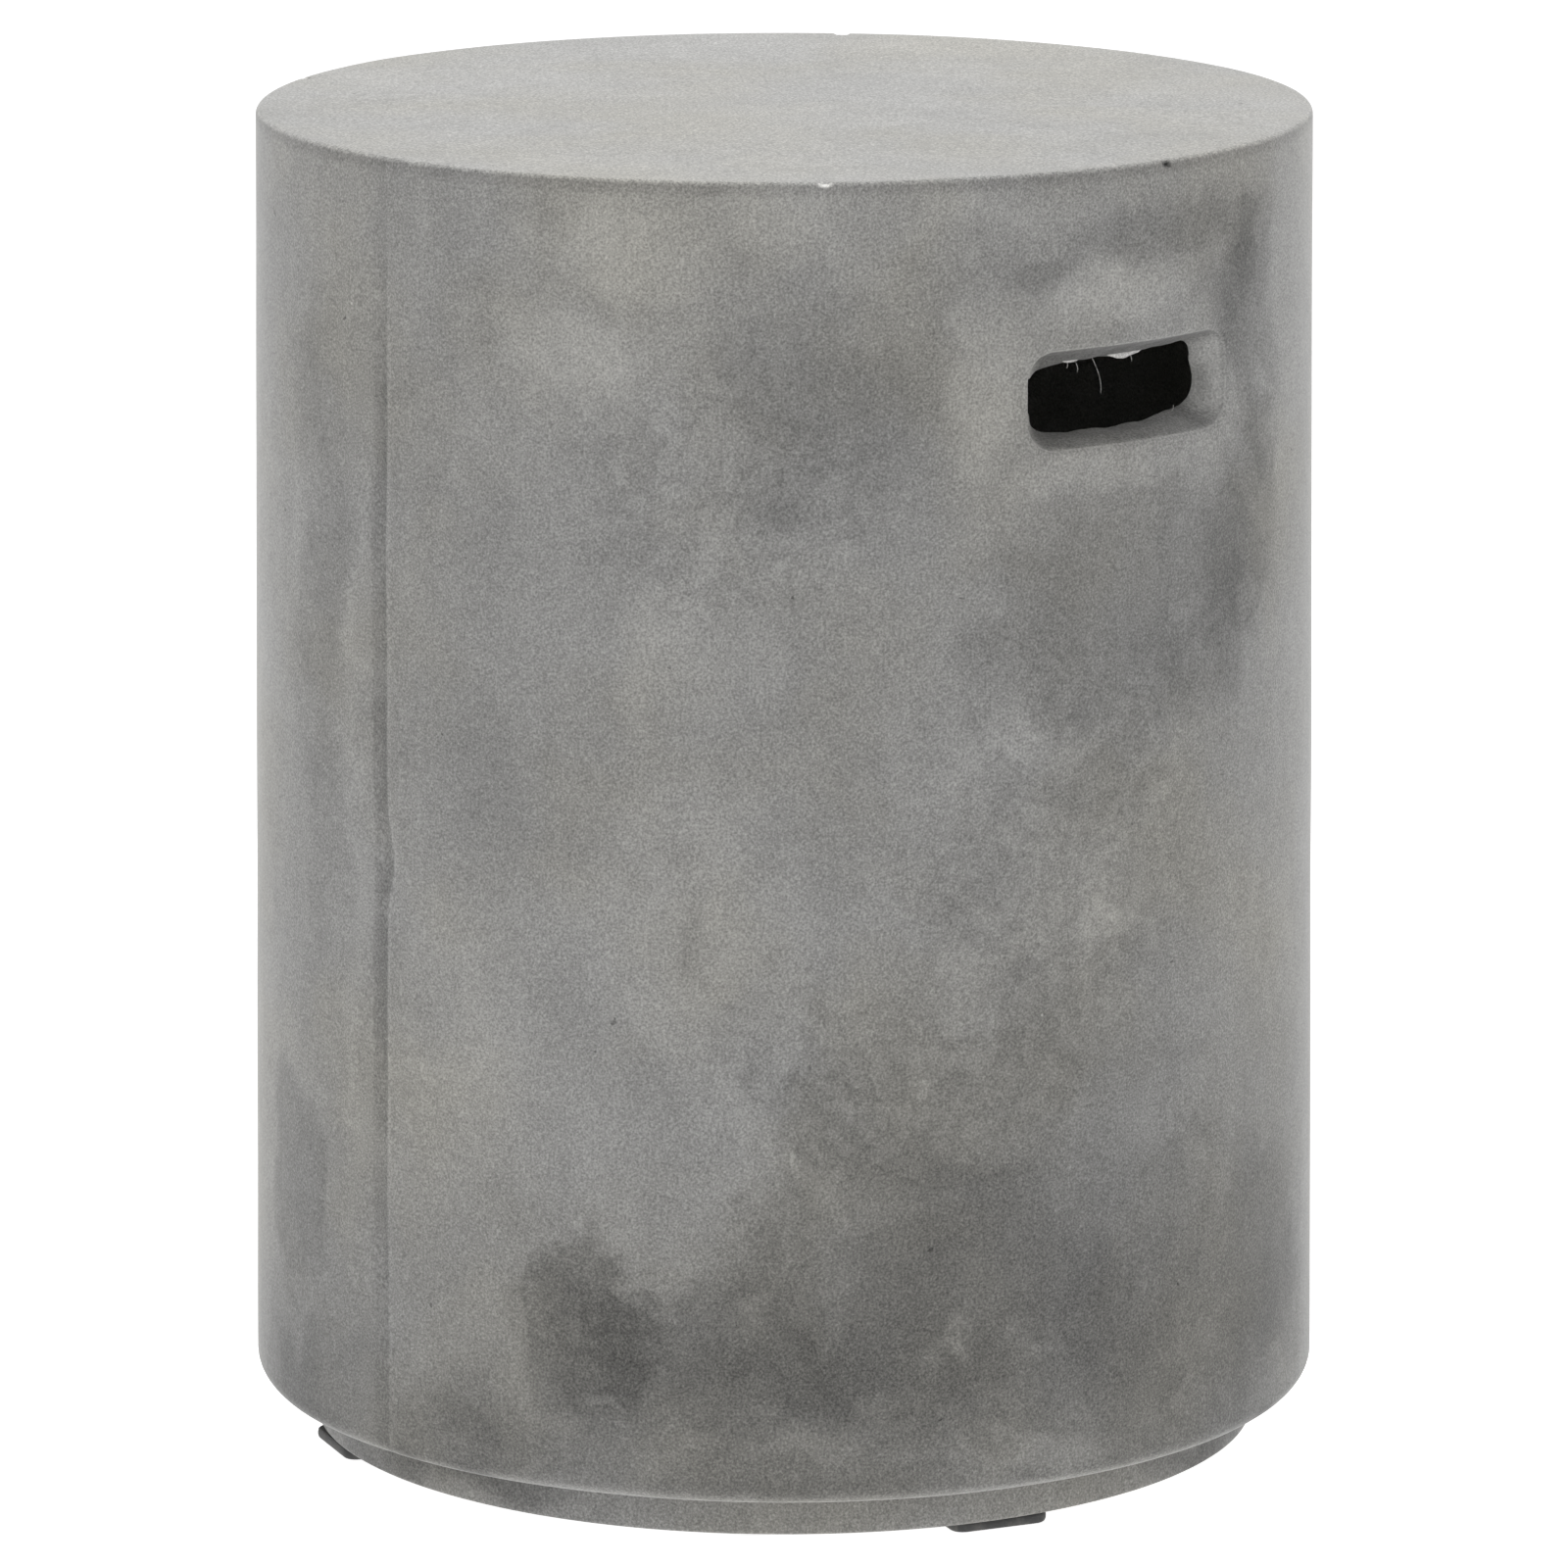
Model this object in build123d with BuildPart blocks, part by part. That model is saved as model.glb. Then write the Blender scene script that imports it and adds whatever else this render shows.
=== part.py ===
from build123d import *
import os
from math import radians, sqrt, tan

# A hollow drum table of glass-fibre concrete, with a hand slot on each side and a recessed plinth.
#
# Millimetres, +Z up. The origin is on the floor, in the middle of the drum. The hand slots face +X and -X.
# The drum shell is one thin casting, open underneath. A concrete base ring closes the edge of its lower end
# and is bolted to four lugs inside the shell. The ring's rim stands below the shell, set back from it, as a
# plinth, and carries four rubber pads.

# Drum shell
HEIGHT = 505.0  # floor to table top, pads included
TOP_RADIUS = 196.5
BASE_RADIUS = 201.0
WALL = 15.0
TOP_THICKNESS = 20.0
TOP_RIM_ROUND = 2.0
LOWER_EDGE_ROUND = 8.0
CEILING_ROUND = 12.0
REGISTER_HEIGHT = 39.0  # straight stretch of the wall's inside, where the base ring fits

# Hand slots: width, height and corner radius where they open in the wall's outer and inner faces
SLOT_CENTRE = 422.5
SLOT_MOUTH = (96.0, 36.5, 11.0)
SLOT_THROAT = (84.0, 24.5, 6.0)
SLOT_LIP_ROUND = 2.0
SLOT_ANGLES = (0, 180)
SLOT_CUT_PAST = 5.0  # how far the cutting shape runs past the wall's faces

# Base ring: a flat plate inside the shell, on a rim that stands on the pads
PLINTH_RADIUS = 179.0
PLINTH_HEIGHT = 17.0  # the part of the rim that shows below the shell
PLINTH_INNER_RADIUS = 148.0
PLATE_RADIUS = 184.5
PLATE_INNER_RADIUS = 130.0
PLATE_THICKNESS = 16.0
PLATE_RECESS = 3.0  # from the shell's lower edge up to the plate
RING_CHAMFER = 1.5
BEAD_RECESS = 1.0

# Lugs inside the shell
LUG_ANGLES = (45, 135, 225, 315)
LUG_INNER_RADIUS = 148.0
LUG_WIDTH = 50.0
LUG_SHOULDER = 35.0
LUG_HEIGHT = 85.0
LUG_CORNER_ROUND = 6.0
LUG_INTO_WALL = 5.0

# Bolts that hold the base ring up to the lugs, and the threaded inserts cast into the lugs
BOLT_CIRCLE = 163.0
BOLT_RADIUS = 3.0
BOLT_LENGTH = 50.0
BOLT_HOLE_RADIUS = 3.4
BOLT_HOLE_SPARE = 4.0  # hole left beyond the bolt's tip
BOLT_HEAD_APOTHEM = 5.0
BOLT_HEAD_HEIGHT = 4.0
BOLT_TIP_CHAMFER = 0.6
COUNTERBORE_RADIUS = 8.5
COUNTERBORE_DEPTH = 12.0
WASHER_RADIUS = 7.0
WASHER_THICKNESS = 1.4
WASHER_CHAMFER = 0.3
INSERT_RADIUS = 5.0
INSERT_LENGTH = 20.0
INSERT_GROOVE_DEPTH = 0.8
INSERT_GROOVE_WIDTH = 6.0

# Rubber pads: angle, radius and twist of each, because they were put on by eye
PAD_PLACES = ((-113.5, 170.0, 5), (-13, 167.5, -4), (75, 168.0, 2), (163, 168.0, -3))
PAD_LENGTH = 38.0
PAD_WIDTH = 18.0
PAD_THICKNESS = 4.0
PAD_CORNER_ROUND = 5.0
PAD_EDGE_ROUND = 0.8

# Countersunk pad screws and the nylon plugs that they bite into
PAD_SCREW_SPACING = 22.0
PAD_SCREW_RADIUS = 1.75
PAD_SCREW_HEAD_RADIUS = 3.4
PAD_SCREW_SUNK = 0.9
PAD_SCREW_LENGTH = 17.0
PAD_SCREW_POINT = 2.5
PAD_SCREW_TIP_RADIUS = 0.4
CROSS_LENGTH = 2.6
CROSS_WIDTH = 0.8
CROSS_DEPTH = 0.9
COUNTERSINK_ANGLE = 82.0
PLUG_RADIUS = 3.0
PLUG_LENGTH = 16.0

# Heights and radii that follow
shell_bottom = PAD_THICKNESS + PLINTH_HEIGHT
plate_bottom = shell_bottom + PLATE_RECESS
plate_top = plate_bottom + PLATE_THICKNESS
ceiling = HEIGHT - TOP_THICKNESS
register_radius = BASE_RADIUS - WALL
counterbore_roof = PAD_THICKNESS + COUNTERBORE_DEPTH
bolt_seat = counterbore_roof - WASHER_THICKNESS
bolt_tip = bolt_seat + BOLT_LENGTH


def outwards(angle):
    """The level direction away from the drum's axis at that angle."""
    return Vector(1, 0, 0).rotate(Axis.Z, angle)


def upright_plane(angle, radius):
    """The upright plane through the drum's axis at that angle: x runs outwards from that radius, y runs up."""
    return Plane(
        origin=outwards(angle) * radius,
        x_dir=outwards(angle),
        z_dir=outwards(angle - 90),
    )


def face_down(angle, radius, height, twist=0):
    """A level plane that faces down, at that angle, radius and height: x runs outwards, turned by the twist."""
    return Plane(
        origin=outwards(angle) * radius + Vector(0, 0, height),
        x_dir=outwards(angle + twist),
        z_dir=(0, 0, -1),
    )


def wall_radius(height):
    """Radius of the drum's outer face, which leans in a little towards the top."""
    share = (height - shell_bottom) / (HEIGHT - shell_bottom)
    return BASE_RADIUS + (TOP_RADIUS - BASE_RADIUS) * share


def slot_section(distance):
    """Width, height and corner radius of a hand slot in the flat section that far from the drum's axis.

    The wall is curved, so the slot's ends lie nearer the axis than its middle does.
    """
    faces = (wall_radius(SLOT_CENTRE), wall_radius(SLOT_CENTRE) - WALL)
    ends = [sqrt(face**2 - (size[0] / 2) ** 2) for face, size in zip(faces, (SLOT_MOUTH, SLOT_THROAT))]
    at_ends = (distance - ends[1]) / (ends[0] - ends[1])
    in_middle = (distance - faces[1]) / (faces[0] - faces[1])
    shares = (at_ends, in_middle, at_ends)
    return [low + share * (high - low) for low, high, share in zip(SLOT_THROAT, SLOT_MOUTH, shares)]


def axis_distance(edge):
    """How far the middle of an edge lies from the drum's axis."""
    middle = edge @ 0.5
    return sqrt(middle.X**2 + middle.Y**2)


os.makedirs("parts", exist_ok=True)

# Half section of a threaded insert with its key groove: x out from the bolt's axis, y up
groove_radius = INSERT_RADIUS - INSERT_GROOVE_DEPTH
groove_low = plate_top + (INSERT_LENGTH - INSERT_GROOVE_WIDTH) / 2
groove_high = groove_low + INSERT_GROOVE_WIDTH
insert_outline = (
    (0, plate_top),
    (INSERT_RADIUS, plate_top),
    (INSERT_RADIUS, groove_low),
    (groove_radius, groove_low),
    (groove_radius, groove_high),
    (INSERT_RADIUS, groove_high),
    (INSERT_RADIUS, plate_top + INSERT_LENGTH),
    (0, plate_top + INSERT_LENGTH),
)

# Drum shell: top and wall in one
with BuildPart() as drum_shell:
    with BuildSketch(Plane.XZ):
        with BuildLine():
            Polyline(
                (0, ceiling),
                (0, HEIGHT),
                (TOP_RADIUS, HEIGHT),
                (BASE_RADIUS, shell_bottom),
                (register_radius, shell_bottom),
                (register_radius, shell_bottom + REGISTER_HEIGHT),
                (TOP_RADIUS - WALL, ceiling),
                close=True,
            )
        make_face()
    revolve(axis=Axis.Z)
    levels = drum_shell.edges().filter_by(GeomType.CIRCLE).group_by(Axis.Z)
    top_rim = levels[-1].sort_by(SortBy.RADIUS)[-1]
    ceiling_corner = levels[-2].sort_by(SortBy.RADIUS)[-1]
    lower_edge = levels[0].sort_by(SortBy.RADIUS)[-1]
    fillet(top_rim, TOP_RIM_ROUND)
    fillet(ceiling_corner, CEILING_ROUND)
    fillet(lower_edge, LOWER_EDGE_ROUND)

    # Lugs, with a sloping upper side
    for angle in LUG_ANGLES:
        with BuildSketch(upright_plane(angle, 0)):
            with BuildLine():
                Polyline(
                    (LUG_INNER_RADIUS, plate_top),
                    (register_radius + LUG_INTO_WALL, plate_top),
                    (register_radius + LUG_INTO_WALL, plate_top + LUG_HEIGHT),
                    (register_radius, plate_top + LUG_HEIGHT),
                    (LUG_INNER_RADIUS, plate_top + LUG_SHOULDER),
                    close=True,
                )
            make_face()
        extrude(amount=LUG_WIDTH / 2, both=True)
    lug_corners = drum_shell.edges().filter_by(Axis.Z).filter_by(lambda e: axis_distance(e) < BOLT_CIRCLE)
    fillet(lug_corners, LUG_CORNER_ROUND)

    # Insert seats, and the bolt holes beyond them
    for angle in LUG_ANGLES:
        bolt_plane = upright_plane(angle, BOLT_CIRCLE)
        with BuildSketch(bolt_plane):
            with BuildLine():
                Polyline(*insert_outline, close=True)
            make_face()
        revolve(axis=Axis(bolt_plane.origin, (0, 0, 1)), mode=Mode.SUBTRACT)
    with Locations(*[face_down(angle, BOLT_CIRCLE, plate_top) for angle in LUG_ANGLES]):
        Hole(BOLT_HOLE_RADIUS, depth=bolt_tip + BOLT_HOLE_SPARE - plate_top)

    # Hand slots, narrowing inwards
    for angle in SLOT_ANGLES:
        for distance in (TOP_RADIUS - WALL - SLOT_CUT_PAST, BASE_RADIUS + SLOT_CUT_PAST):
            width, height, corner = slot_section(distance)
            middle = outwards(angle) * distance + Vector(0, 0, SLOT_CENTRE)
            with BuildSketch(Plane(origin=middle, x_dir=outwards(angle + 90), z_dir=outwards(angle))):
                RectangleRounded(width, height, corner)
        loft(mode=Mode.SUBTRACT)
    slot_edges = drum_shell.edges().filter_by(lambda e: abs(e.center().Z - SLOT_CENTRE) < SLOT_MOUTH[1])
    slot_lips = slot_edges.filter_by(lambda e: axis_distance(e) > wall_radius(SLOT_CENTRE) - WALL / 3)
    fillet(slot_lips, SLOT_LIP_ROUND)
drum_shell.part.label = "drum_shell"
export_step(drum_shell.part, "parts/drum_shell.step")

# Base ring
with BuildPart() as base_ring:
    with BuildSketch(Plane.XZ):
        with BuildLine():
            Polyline(
                (PLINTH_INNER_RADIUS, PAD_THICKNESS),
                (PLINTH_RADIUS, PAD_THICKNESS),
                (PLINTH_RADIUS, plate_bottom),
                (PLATE_RADIUS, plate_bottom),
                (PLATE_RADIUS, plate_top),
                (PLATE_INNER_RADIUS, plate_top),
                (PLATE_INNER_RADIUS, plate_bottom),
                (PLINTH_INNER_RADIUS, plate_bottom),
                close=True,
            )
        make_face()
    revolve(axis=Axis.Z)
    chamfer(base_ring.edges().filter_by(GeomType.CIRCLE).group_by(Axis.Z)[0], RING_CHAMFER)
    with Locations(*[face_down(angle, BOLT_CIRCLE, PAD_THICKNESS) for angle in LUG_ANGLES]):
        CounterBoreHole(BOLT_HOLE_RADIUS, COUNTERBORE_RADIUS, COUNTERBORE_DEPTH)
    for angle, radius, twist in PAD_PLACES:
        with BuildSketch(face_down(angle, radius, PAD_THICKNESS, twist)):
            with GridLocations(1, PAD_SCREW_SPACING, 1, 2):
                Circle(PLUG_RADIUS)
        extrude(amount=-PLUG_LENGTH, mode=Mode.SUBTRACT)
base_ring.part.label = "base_ring"
export_step(base_ring.part, "parts/base_ring.step")

# Bead of sealant between the plate's edge and the shell
with BuildPart() as joint_bead:
    with BuildSketch(Plane.XY.offset(plate_bottom + BEAD_RECESS)):
        Circle(register_radius)
        Circle(PLATE_RADIUS, mode=Mode.SUBTRACT)
    extrude(amount=PLATE_THICKNESS - BEAD_RECESS)
joint_bead.part.label = "joint_bead"
export_step(joint_bead.part, "parts/joint_bead.step")

# Threaded insert, washer and hexagon-head bolt, each made on the drum's axis and then put on the bolt circle
with BuildPart() as insert:
    with BuildSketch(Plane.XZ):
        with BuildLine():
            Polyline(*insert_outline, close=True)
        make_face()
    revolve(axis=Axis.Z)
    with BuildSketch(Plane.XY.offset(plate_top)):
        Circle(BOLT_RADIUS)
    extrude(amount=INSERT_LENGTH, mode=Mode.SUBTRACT)

with BuildPart() as washer:
    with BuildSketch(Plane.XY.offset(bolt_seat)):
        Circle(WASHER_RADIUS)
        Circle(BOLT_HOLE_RADIUS, mode=Mode.SUBTRACT)
    extrude(amount=WASHER_THICKNESS)
    chamfer(washer.edges().group_by(Axis.Z)[0].sort_by(SortBy.RADIUS)[-1], WASHER_CHAMFER)

with BuildPart() as bolt:
    with BuildSketch(Plane.XY.offset(bolt_seat - BOLT_HEAD_HEIGHT)):
        RegularPolygon(BOLT_HEAD_APOTHEM, 6, major_radius=False)
    extrude(amount=BOLT_HEAD_HEIGHT)
    with BuildSketch(Plane.XY.offset(bolt_seat)):
        Circle(BOLT_RADIUS)
    extrude(amount=BOLT_LENGTH)
    chamfer(bolt.edges().group_by(Axis.Z)[-1], BOLT_TIP_CHAMFER)

for number, angle in enumerate(LUG_ANGLES, 1):
    bolt_place = Location(outwards(angle) * BOLT_CIRCLE, (0, 0, angle))
    with BuildPart() as base_insert:
        with Locations(bolt_place):
            add(insert.part)
    base_insert.part.label = f"base_insert_{number}"
    export_step(base_insert.part, f"parts/base_insert_{number}.step")

    with BuildPart() as base_washer:
        with Locations(bolt_place):
            add(washer.part)
    base_washer.part.label = f"base_washer_{number}"
    export_step(base_washer.part, f"parts/base_washer_{number}.step")

    with BuildPart() as base_bolt:
        with Locations(bolt_place):
            add(bolt.part)
    base_bolt.part.label = f"base_bolt_{number}"
    export_step(base_bolt.part, f"parts/base_bolt_{number}.step")

# Countersunk pad screw with a cross recess, head down, made on the drum's axis
screw_tip = PAD_SCREW_SUNK + PAD_SCREW_LENGTH
screw_cone = (PAD_SCREW_HEAD_RADIUS - PAD_SCREW_RADIUS) / tan(radians(COUNTERSINK_ANGLE / 2))
with BuildPart() as screw:
    with BuildSketch(Plane.XZ):
        with BuildLine():
            Polyline(
                (0, PAD_SCREW_SUNK),
                (PAD_SCREW_HEAD_RADIUS, PAD_SCREW_SUNK),
                (PAD_SCREW_RADIUS, PAD_SCREW_SUNK + screw_cone),
                (PAD_SCREW_RADIUS, screw_tip - PAD_SCREW_POINT),
                (PAD_SCREW_TIP_RADIUS, screw_tip),
                (0, screw_tip),
                close=True,
            )
        make_face()
    revolve(axis=Axis.Z)
    with BuildSketch(Plane.XY.offset(PAD_SCREW_SUNK)):
        Rectangle(CROSS_LENGTH, CROSS_WIDTH)
        Rectangle(CROSS_WIDTH, CROSS_LENGTH)
    extrude(amount=CROSS_DEPTH, mode=Mode.SUBTRACT)

# Each rubber pad, with its pair of screws and its pair of plugs
for number, (angle, radius, twist) in enumerate(PAD_PLACES, 1):
    pad_underside = face_down(angle, radius, 0, twist)
    rim_underside = face_down(angle, radius, PAD_THICKNESS, twist)

    with BuildPart() as foot_pad:
        with BuildSketch(pad_underside):
            RectangleRounded(PAD_WIDTH, PAD_LENGTH, PAD_CORNER_ROUND)
        extrude(amount=-PAD_THICKNESS)
        fillet(foot_pad.faces().sort_by(Axis.Z)[0].edges(), PAD_EDGE_ROUND)
        with Locations(pad_underside):
            with GridLocations(1, PAD_SCREW_SPACING, 1, 2):
                Hole(PAD_SCREW_HEAD_RADIUS, depth=PAD_SCREW_SUNK)
        with Locations(pad_underside.offset(-PAD_SCREW_SUNK)):
            with GridLocations(1, PAD_SCREW_SPACING, 1, 2):
                CounterSinkHole(
                    PAD_SCREW_RADIUS,
                    PAD_SCREW_HEAD_RADIUS,
                    depth=PAD_THICKNESS,
                    counter_sink_angle=COUNTERSINK_ANGLE,
                )
    foot_pad.part.label = f"foot_pad_{number}"
    export_step(foot_pad.part, f"parts/foot_pad_{number}.step")

    spots = [pad_underside.from_local_coords((0, side * PAD_SCREW_SPACING / 2, 0)) for side in (-1, 1)]
    with BuildPart() as pad_screws:
        with Locations(*spots):
            add(screw.part)
    pad_screws.part.label = f"pad_screws_{number}"
    export_step(pad_screws.part, f"parts/pad_screws_{number}.step")

    with BuildPart() as pad_plugs:
        with BuildSketch(rim_underside):
            with GridLocations(1, PAD_SCREW_SPACING, 1, 2):
                Circle(PLUG_RADIUS)
                Circle(PAD_SCREW_RADIUS, mode=Mode.SUBTRACT)
        extrude(amount=-PLUG_LENGTH)
    pad_plugs.part.label = f"pad_plugs_{number}"
    export_step(pad_plugs.part, f"parts/pad_plugs_{number}.step")
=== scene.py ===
"""Hollow drum table of glass-fibre concrete: the visible pieces, a plain floor, soft light and the camera.

Metres, +Z up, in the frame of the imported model. The hand slots face +X and -X. Azimuths are in degrees,
anticlockwise from +X seen from above.
"""

from math import cos, pi, radians, sin

import bmesh
import bpy
import numpy as np
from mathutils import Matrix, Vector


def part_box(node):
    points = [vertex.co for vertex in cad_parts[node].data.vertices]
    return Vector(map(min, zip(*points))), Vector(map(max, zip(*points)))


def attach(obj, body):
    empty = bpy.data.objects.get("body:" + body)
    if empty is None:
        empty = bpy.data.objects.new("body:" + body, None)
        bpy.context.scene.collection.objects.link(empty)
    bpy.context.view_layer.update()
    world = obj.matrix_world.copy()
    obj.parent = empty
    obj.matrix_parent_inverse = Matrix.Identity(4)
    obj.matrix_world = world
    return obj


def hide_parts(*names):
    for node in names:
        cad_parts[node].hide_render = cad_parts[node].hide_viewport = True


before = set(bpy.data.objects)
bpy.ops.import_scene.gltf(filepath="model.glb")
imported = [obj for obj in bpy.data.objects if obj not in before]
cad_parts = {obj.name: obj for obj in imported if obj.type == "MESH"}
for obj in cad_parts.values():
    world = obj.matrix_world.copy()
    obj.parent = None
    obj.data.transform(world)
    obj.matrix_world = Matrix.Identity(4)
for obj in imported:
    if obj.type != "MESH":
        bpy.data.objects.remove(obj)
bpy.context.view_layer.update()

MM = 0.001

# Drum shell
SHELL_LOW, SHELL_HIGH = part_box("drum_shell")
FOOT_Z, TOP_Z = SHELL_LOW.z, SHELL_HIGH.z
TOP_RADIUS = 196.5 * MM
BASE_RADIUS = 201 * MM
WALL = 15 * MM
RIM_ROUND = 2.2 * MM
FOOT_ROUND = 8 * MM
INNER_ARRIS = 1 * MM
REGISTER_RADIUS = BASE_RADIUS - WALL
REGISTER_HEIGHT = 39 * MM
CEILING_Z = TOP_Z - 20 * MM
CEILING_ROUND = 12 * MM

# Hand slots: width, height and corner radius in the outer and inner faces of the wall
SLOT_Z = 422.5 * MM
SLOT_MOUTH = np.array((96, 36.5, 11)) * MM
SLOT_THROAT = np.array((84, 24.5, 6)) * MM
SLOT_AZIMUTHS = (0, 180)
SLOT_LIP = 1.7 * MM
SLOT_PATCH_AZIMUTH = 19  # half the width, in degrees, of the patch of wall that a slot is cut in
SLOT_PATCH_HEIGHT = 34 * MM  # half its height
SLOT_CELLS = (72, 26)  # cells of the patch across and up

# Mould seams
SEAM_AZIMUTHS = (92, -88)
SEAM_HALF_WIDTH = 4 * MM
SEAM_DEPTH = 0.16 * MM

# How far the hand-made faces wander from their true shape
WALL_WANDER = 0.32 * MM
TOP_WANDER = 0.3 * MM
INSIDE_WANDER = 0.6 * MM
INSIDE_ROUGHNESS = 0.35 * MM
SLOT_ROUGHNESS = 0.3 * MM

# Chips in the top rim: azimuth, height, half width, half height, depth, and how much lighter they are
CHIPS = (
    (-36.1, TOP_Z - 0.6 * MM, 2.6 * MM, 1.4 * MM, 1.0 * MM, 0.34),
    (4.1, TOP_Z - 1.4 * MM, 2.2 * MM, 1.7 * MM, 1.2 * MM, -0.4),
    (133, TOP_Z - 0.3 * MM, 3.0 * MM, 1.4 * MM, 1.2 * MM, -0.12),
    (-151, TOP_Z - 0.4 * MM, 2.4 * MM, 1.5 * MM, 0.9 * MM, 0.12),
)

rng = np.random.default_rng(7)


# ---------------------------------------------------------------- shapes


def make_waves(count, longest, shortest):
    """Random plane waves for wavy_noise: directions with wave numbers, phases and amplitudes."""
    direction = rng.normal(size=(count, 3))
    direction /= np.linalg.norm(direction, axis=1)[:, None]
    length = np.exp(rng.uniform(np.log(shortest), np.log(longest), count))
    phase = rng.uniform(0, 2 * pi, count)
    amplitude = length / longest
    return direction * (2 * pi / length)[:, None], phase, amplitude / amplitude.sum()


def wavy_noise(points, waves):
    """Smooth noise between about -1 and 1 at an array of points."""
    vectors, phases, amplitudes = waves
    return np.sin(np.asarray(points) @ vectors.T + phases) @ amplitudes * 2


WALL_WAVES = make_waves(28, 260 * MM, 45 * MM)
ROUGH_WAVES = make_waves(60, 16 * MM, 3 * MM)
RAGGED_WAVES = make_waves(60, 14 * MM, 1.2 * MM)


def smooth_step(low, high, value):
    """0 below low, 1 above high and smooth between."""
    share = np.clip((np.asarray(value) - low) / (high - low), 0, 1)
    return share * share * (3 - 2 * share)


def spread(breaks, spacing):
    """Points from the first break to the last, every break among them, about spacing(x) apart."""
    points = [breaks[0]]
    for start, end in zip(breaks, breaks[1:]):
        fine = np.linspace(start, end, 300)
        density = 1 / np.array([spacing(x) for x in fine])
        steps_between = (density[1:] + density[:-1]) / 2 * abs(np.diff(fine))
        steps_so_far = np.concatenate([[0], np.cumsum(steps_between)])
        steps = max(1, round(steps_so_far[-1]))
        points += list(np.interp(np.linspace(0, steps_so_far[-1], steps + 1)[1:], steps_so_far, fine))
    return np.array(points)


def turned(azimuth, between=(-180, 180)):
    """The same azimuth, brought between two limits a full turn apart."""
    return (azimuth - between[0]) % 360 + between[0]


def circle(radius, z, angles):
    """Points on a circle round the Z axis."""
    return np.column_stack([radius * np.cos(angles), radius * np.sin(angles), np.full(len(angles), z)])


def spun(points, azimuth, radius=0.0):
    """Points moved out along +X by a radius and then turned to an azimuth."""
    x, y, z = (np.asarray(points) + (radius, 0, 0)).T
    turn = radians(azimuth)
    return np.column_stack([x * cos(turn) - y * sin(turn), x * sin(turn) + y * cos(turn), z])


def outwards_at(points):
    """Unit vectors that point away from the Z axis."""
    return points * (1, 1, 0) / np.hypot(points[:, 0], points[:, 1])[:, None]


def wall_radius(z):
    """Radius of the drum's outer face, which leans in a little towards the top."""
    return BASE_RADIUS + (TOP_RADIUS - BASE_RADIUS) * (z - FOOT_Z) / (TOP_Z - FOOT_Z)


def inner_radius(z):
    """Radius of the drum's inner face above the register."""
    register_top = FOOT_Z + REGISTER_HEIGHT
    share = (z - register_top) / (CEILING_Z - register_top)
    return REGISTER_RADIUS + (TOP_RADIUS - WALL - REGISTER_RADIUS) * share


def seam_edges(z):
    """Left and right edge of the seam's band, as distances along the wall from its middle."""
    wander = 0.5 * MM * np.sin(z / (31 * MM)) + 0.35 * MM * np.sin(z / (12.5 * MM) + 1)
    bulge = 3.2 * MM * np.exp(-(((z - 247 * MM) / (11 * MM)) ** 2))
    return -SEAM_HALF_WIDTH + wander, SEAM_HALF_WIDTH + 0.6 * wander + bulge


def seam_share(azimuth, z):
    """How far a point is into a mould seam's band: up to 1, and below 0 on the ridge beside it."""
    share = 0
    left, right = seam_edges(z)
    # Faint near the top, clear in the middle and half as clear near the ground
    fade = smooth_step(500 * MM, 390 * MM, z) * 0.8 + 0.2 - 0.5 * smooth_step(190 * MM, 70 * MM, z)
    for seam in SEAM_AZIMUTHS:
        across = np.radians(turned(azimuth - seam)) * BASE_RADIUS
        inside = smooth_step(left - 1.2 * MM, left + 1.2 * MM, across)
        inside = inside * (0.45 + 0.55 * np.clip((across - left) / (right - left), 0, 1))
        band = inside * smooth_step(right + 0.4 * MM, right - 0.4 * MM, across)
        ridge = np.exp(-(((across - right - 1.2 * MM) / (0.8 * MM)) ** 2))
        share = share + (band - 0.35 * ridge) * fade
    return share


def outer_offset(azimuth, z, points):
    """How far the outer face stands proud of its true cone: slow waves and the seams' shallow bands."""
    return WALL_WANDER * wavy_noise(points, WALL_WAVES) - SEAM_DEPTH * seam_share(azimuth, z)


def chip_shares(azimuth, z):
    """How deep the chips in the top rim cut at each point, and how much lighter or darker the point is."""
    depth, tone = 0, 0
    for at, height, half_width, half_height, deepest, lighter in CHIPS:
        across = np.radians(turned(azimuth - at)) * TOP_RADIUS / half_width
        up = (z - height) / half_height
        share = np.clip(1 - across**2 - up**2, 0, 1) ** 0.7
        depth, tone = depth + deepest * share, tone + lighter * share
    return depth, tone


def arc(centre_r, centre_z, radius, start, end, steps):
    """Points and normals of an arc in the drum's half section: (r, z, normal r, normal z)."""
    turns = np.radians(np.linspace(start, end, steps + 1))
    return [(centre_r + radius * cos(t), centre_z + radius * sin(t), cos(t), sin(t)) for t in turns]


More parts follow.
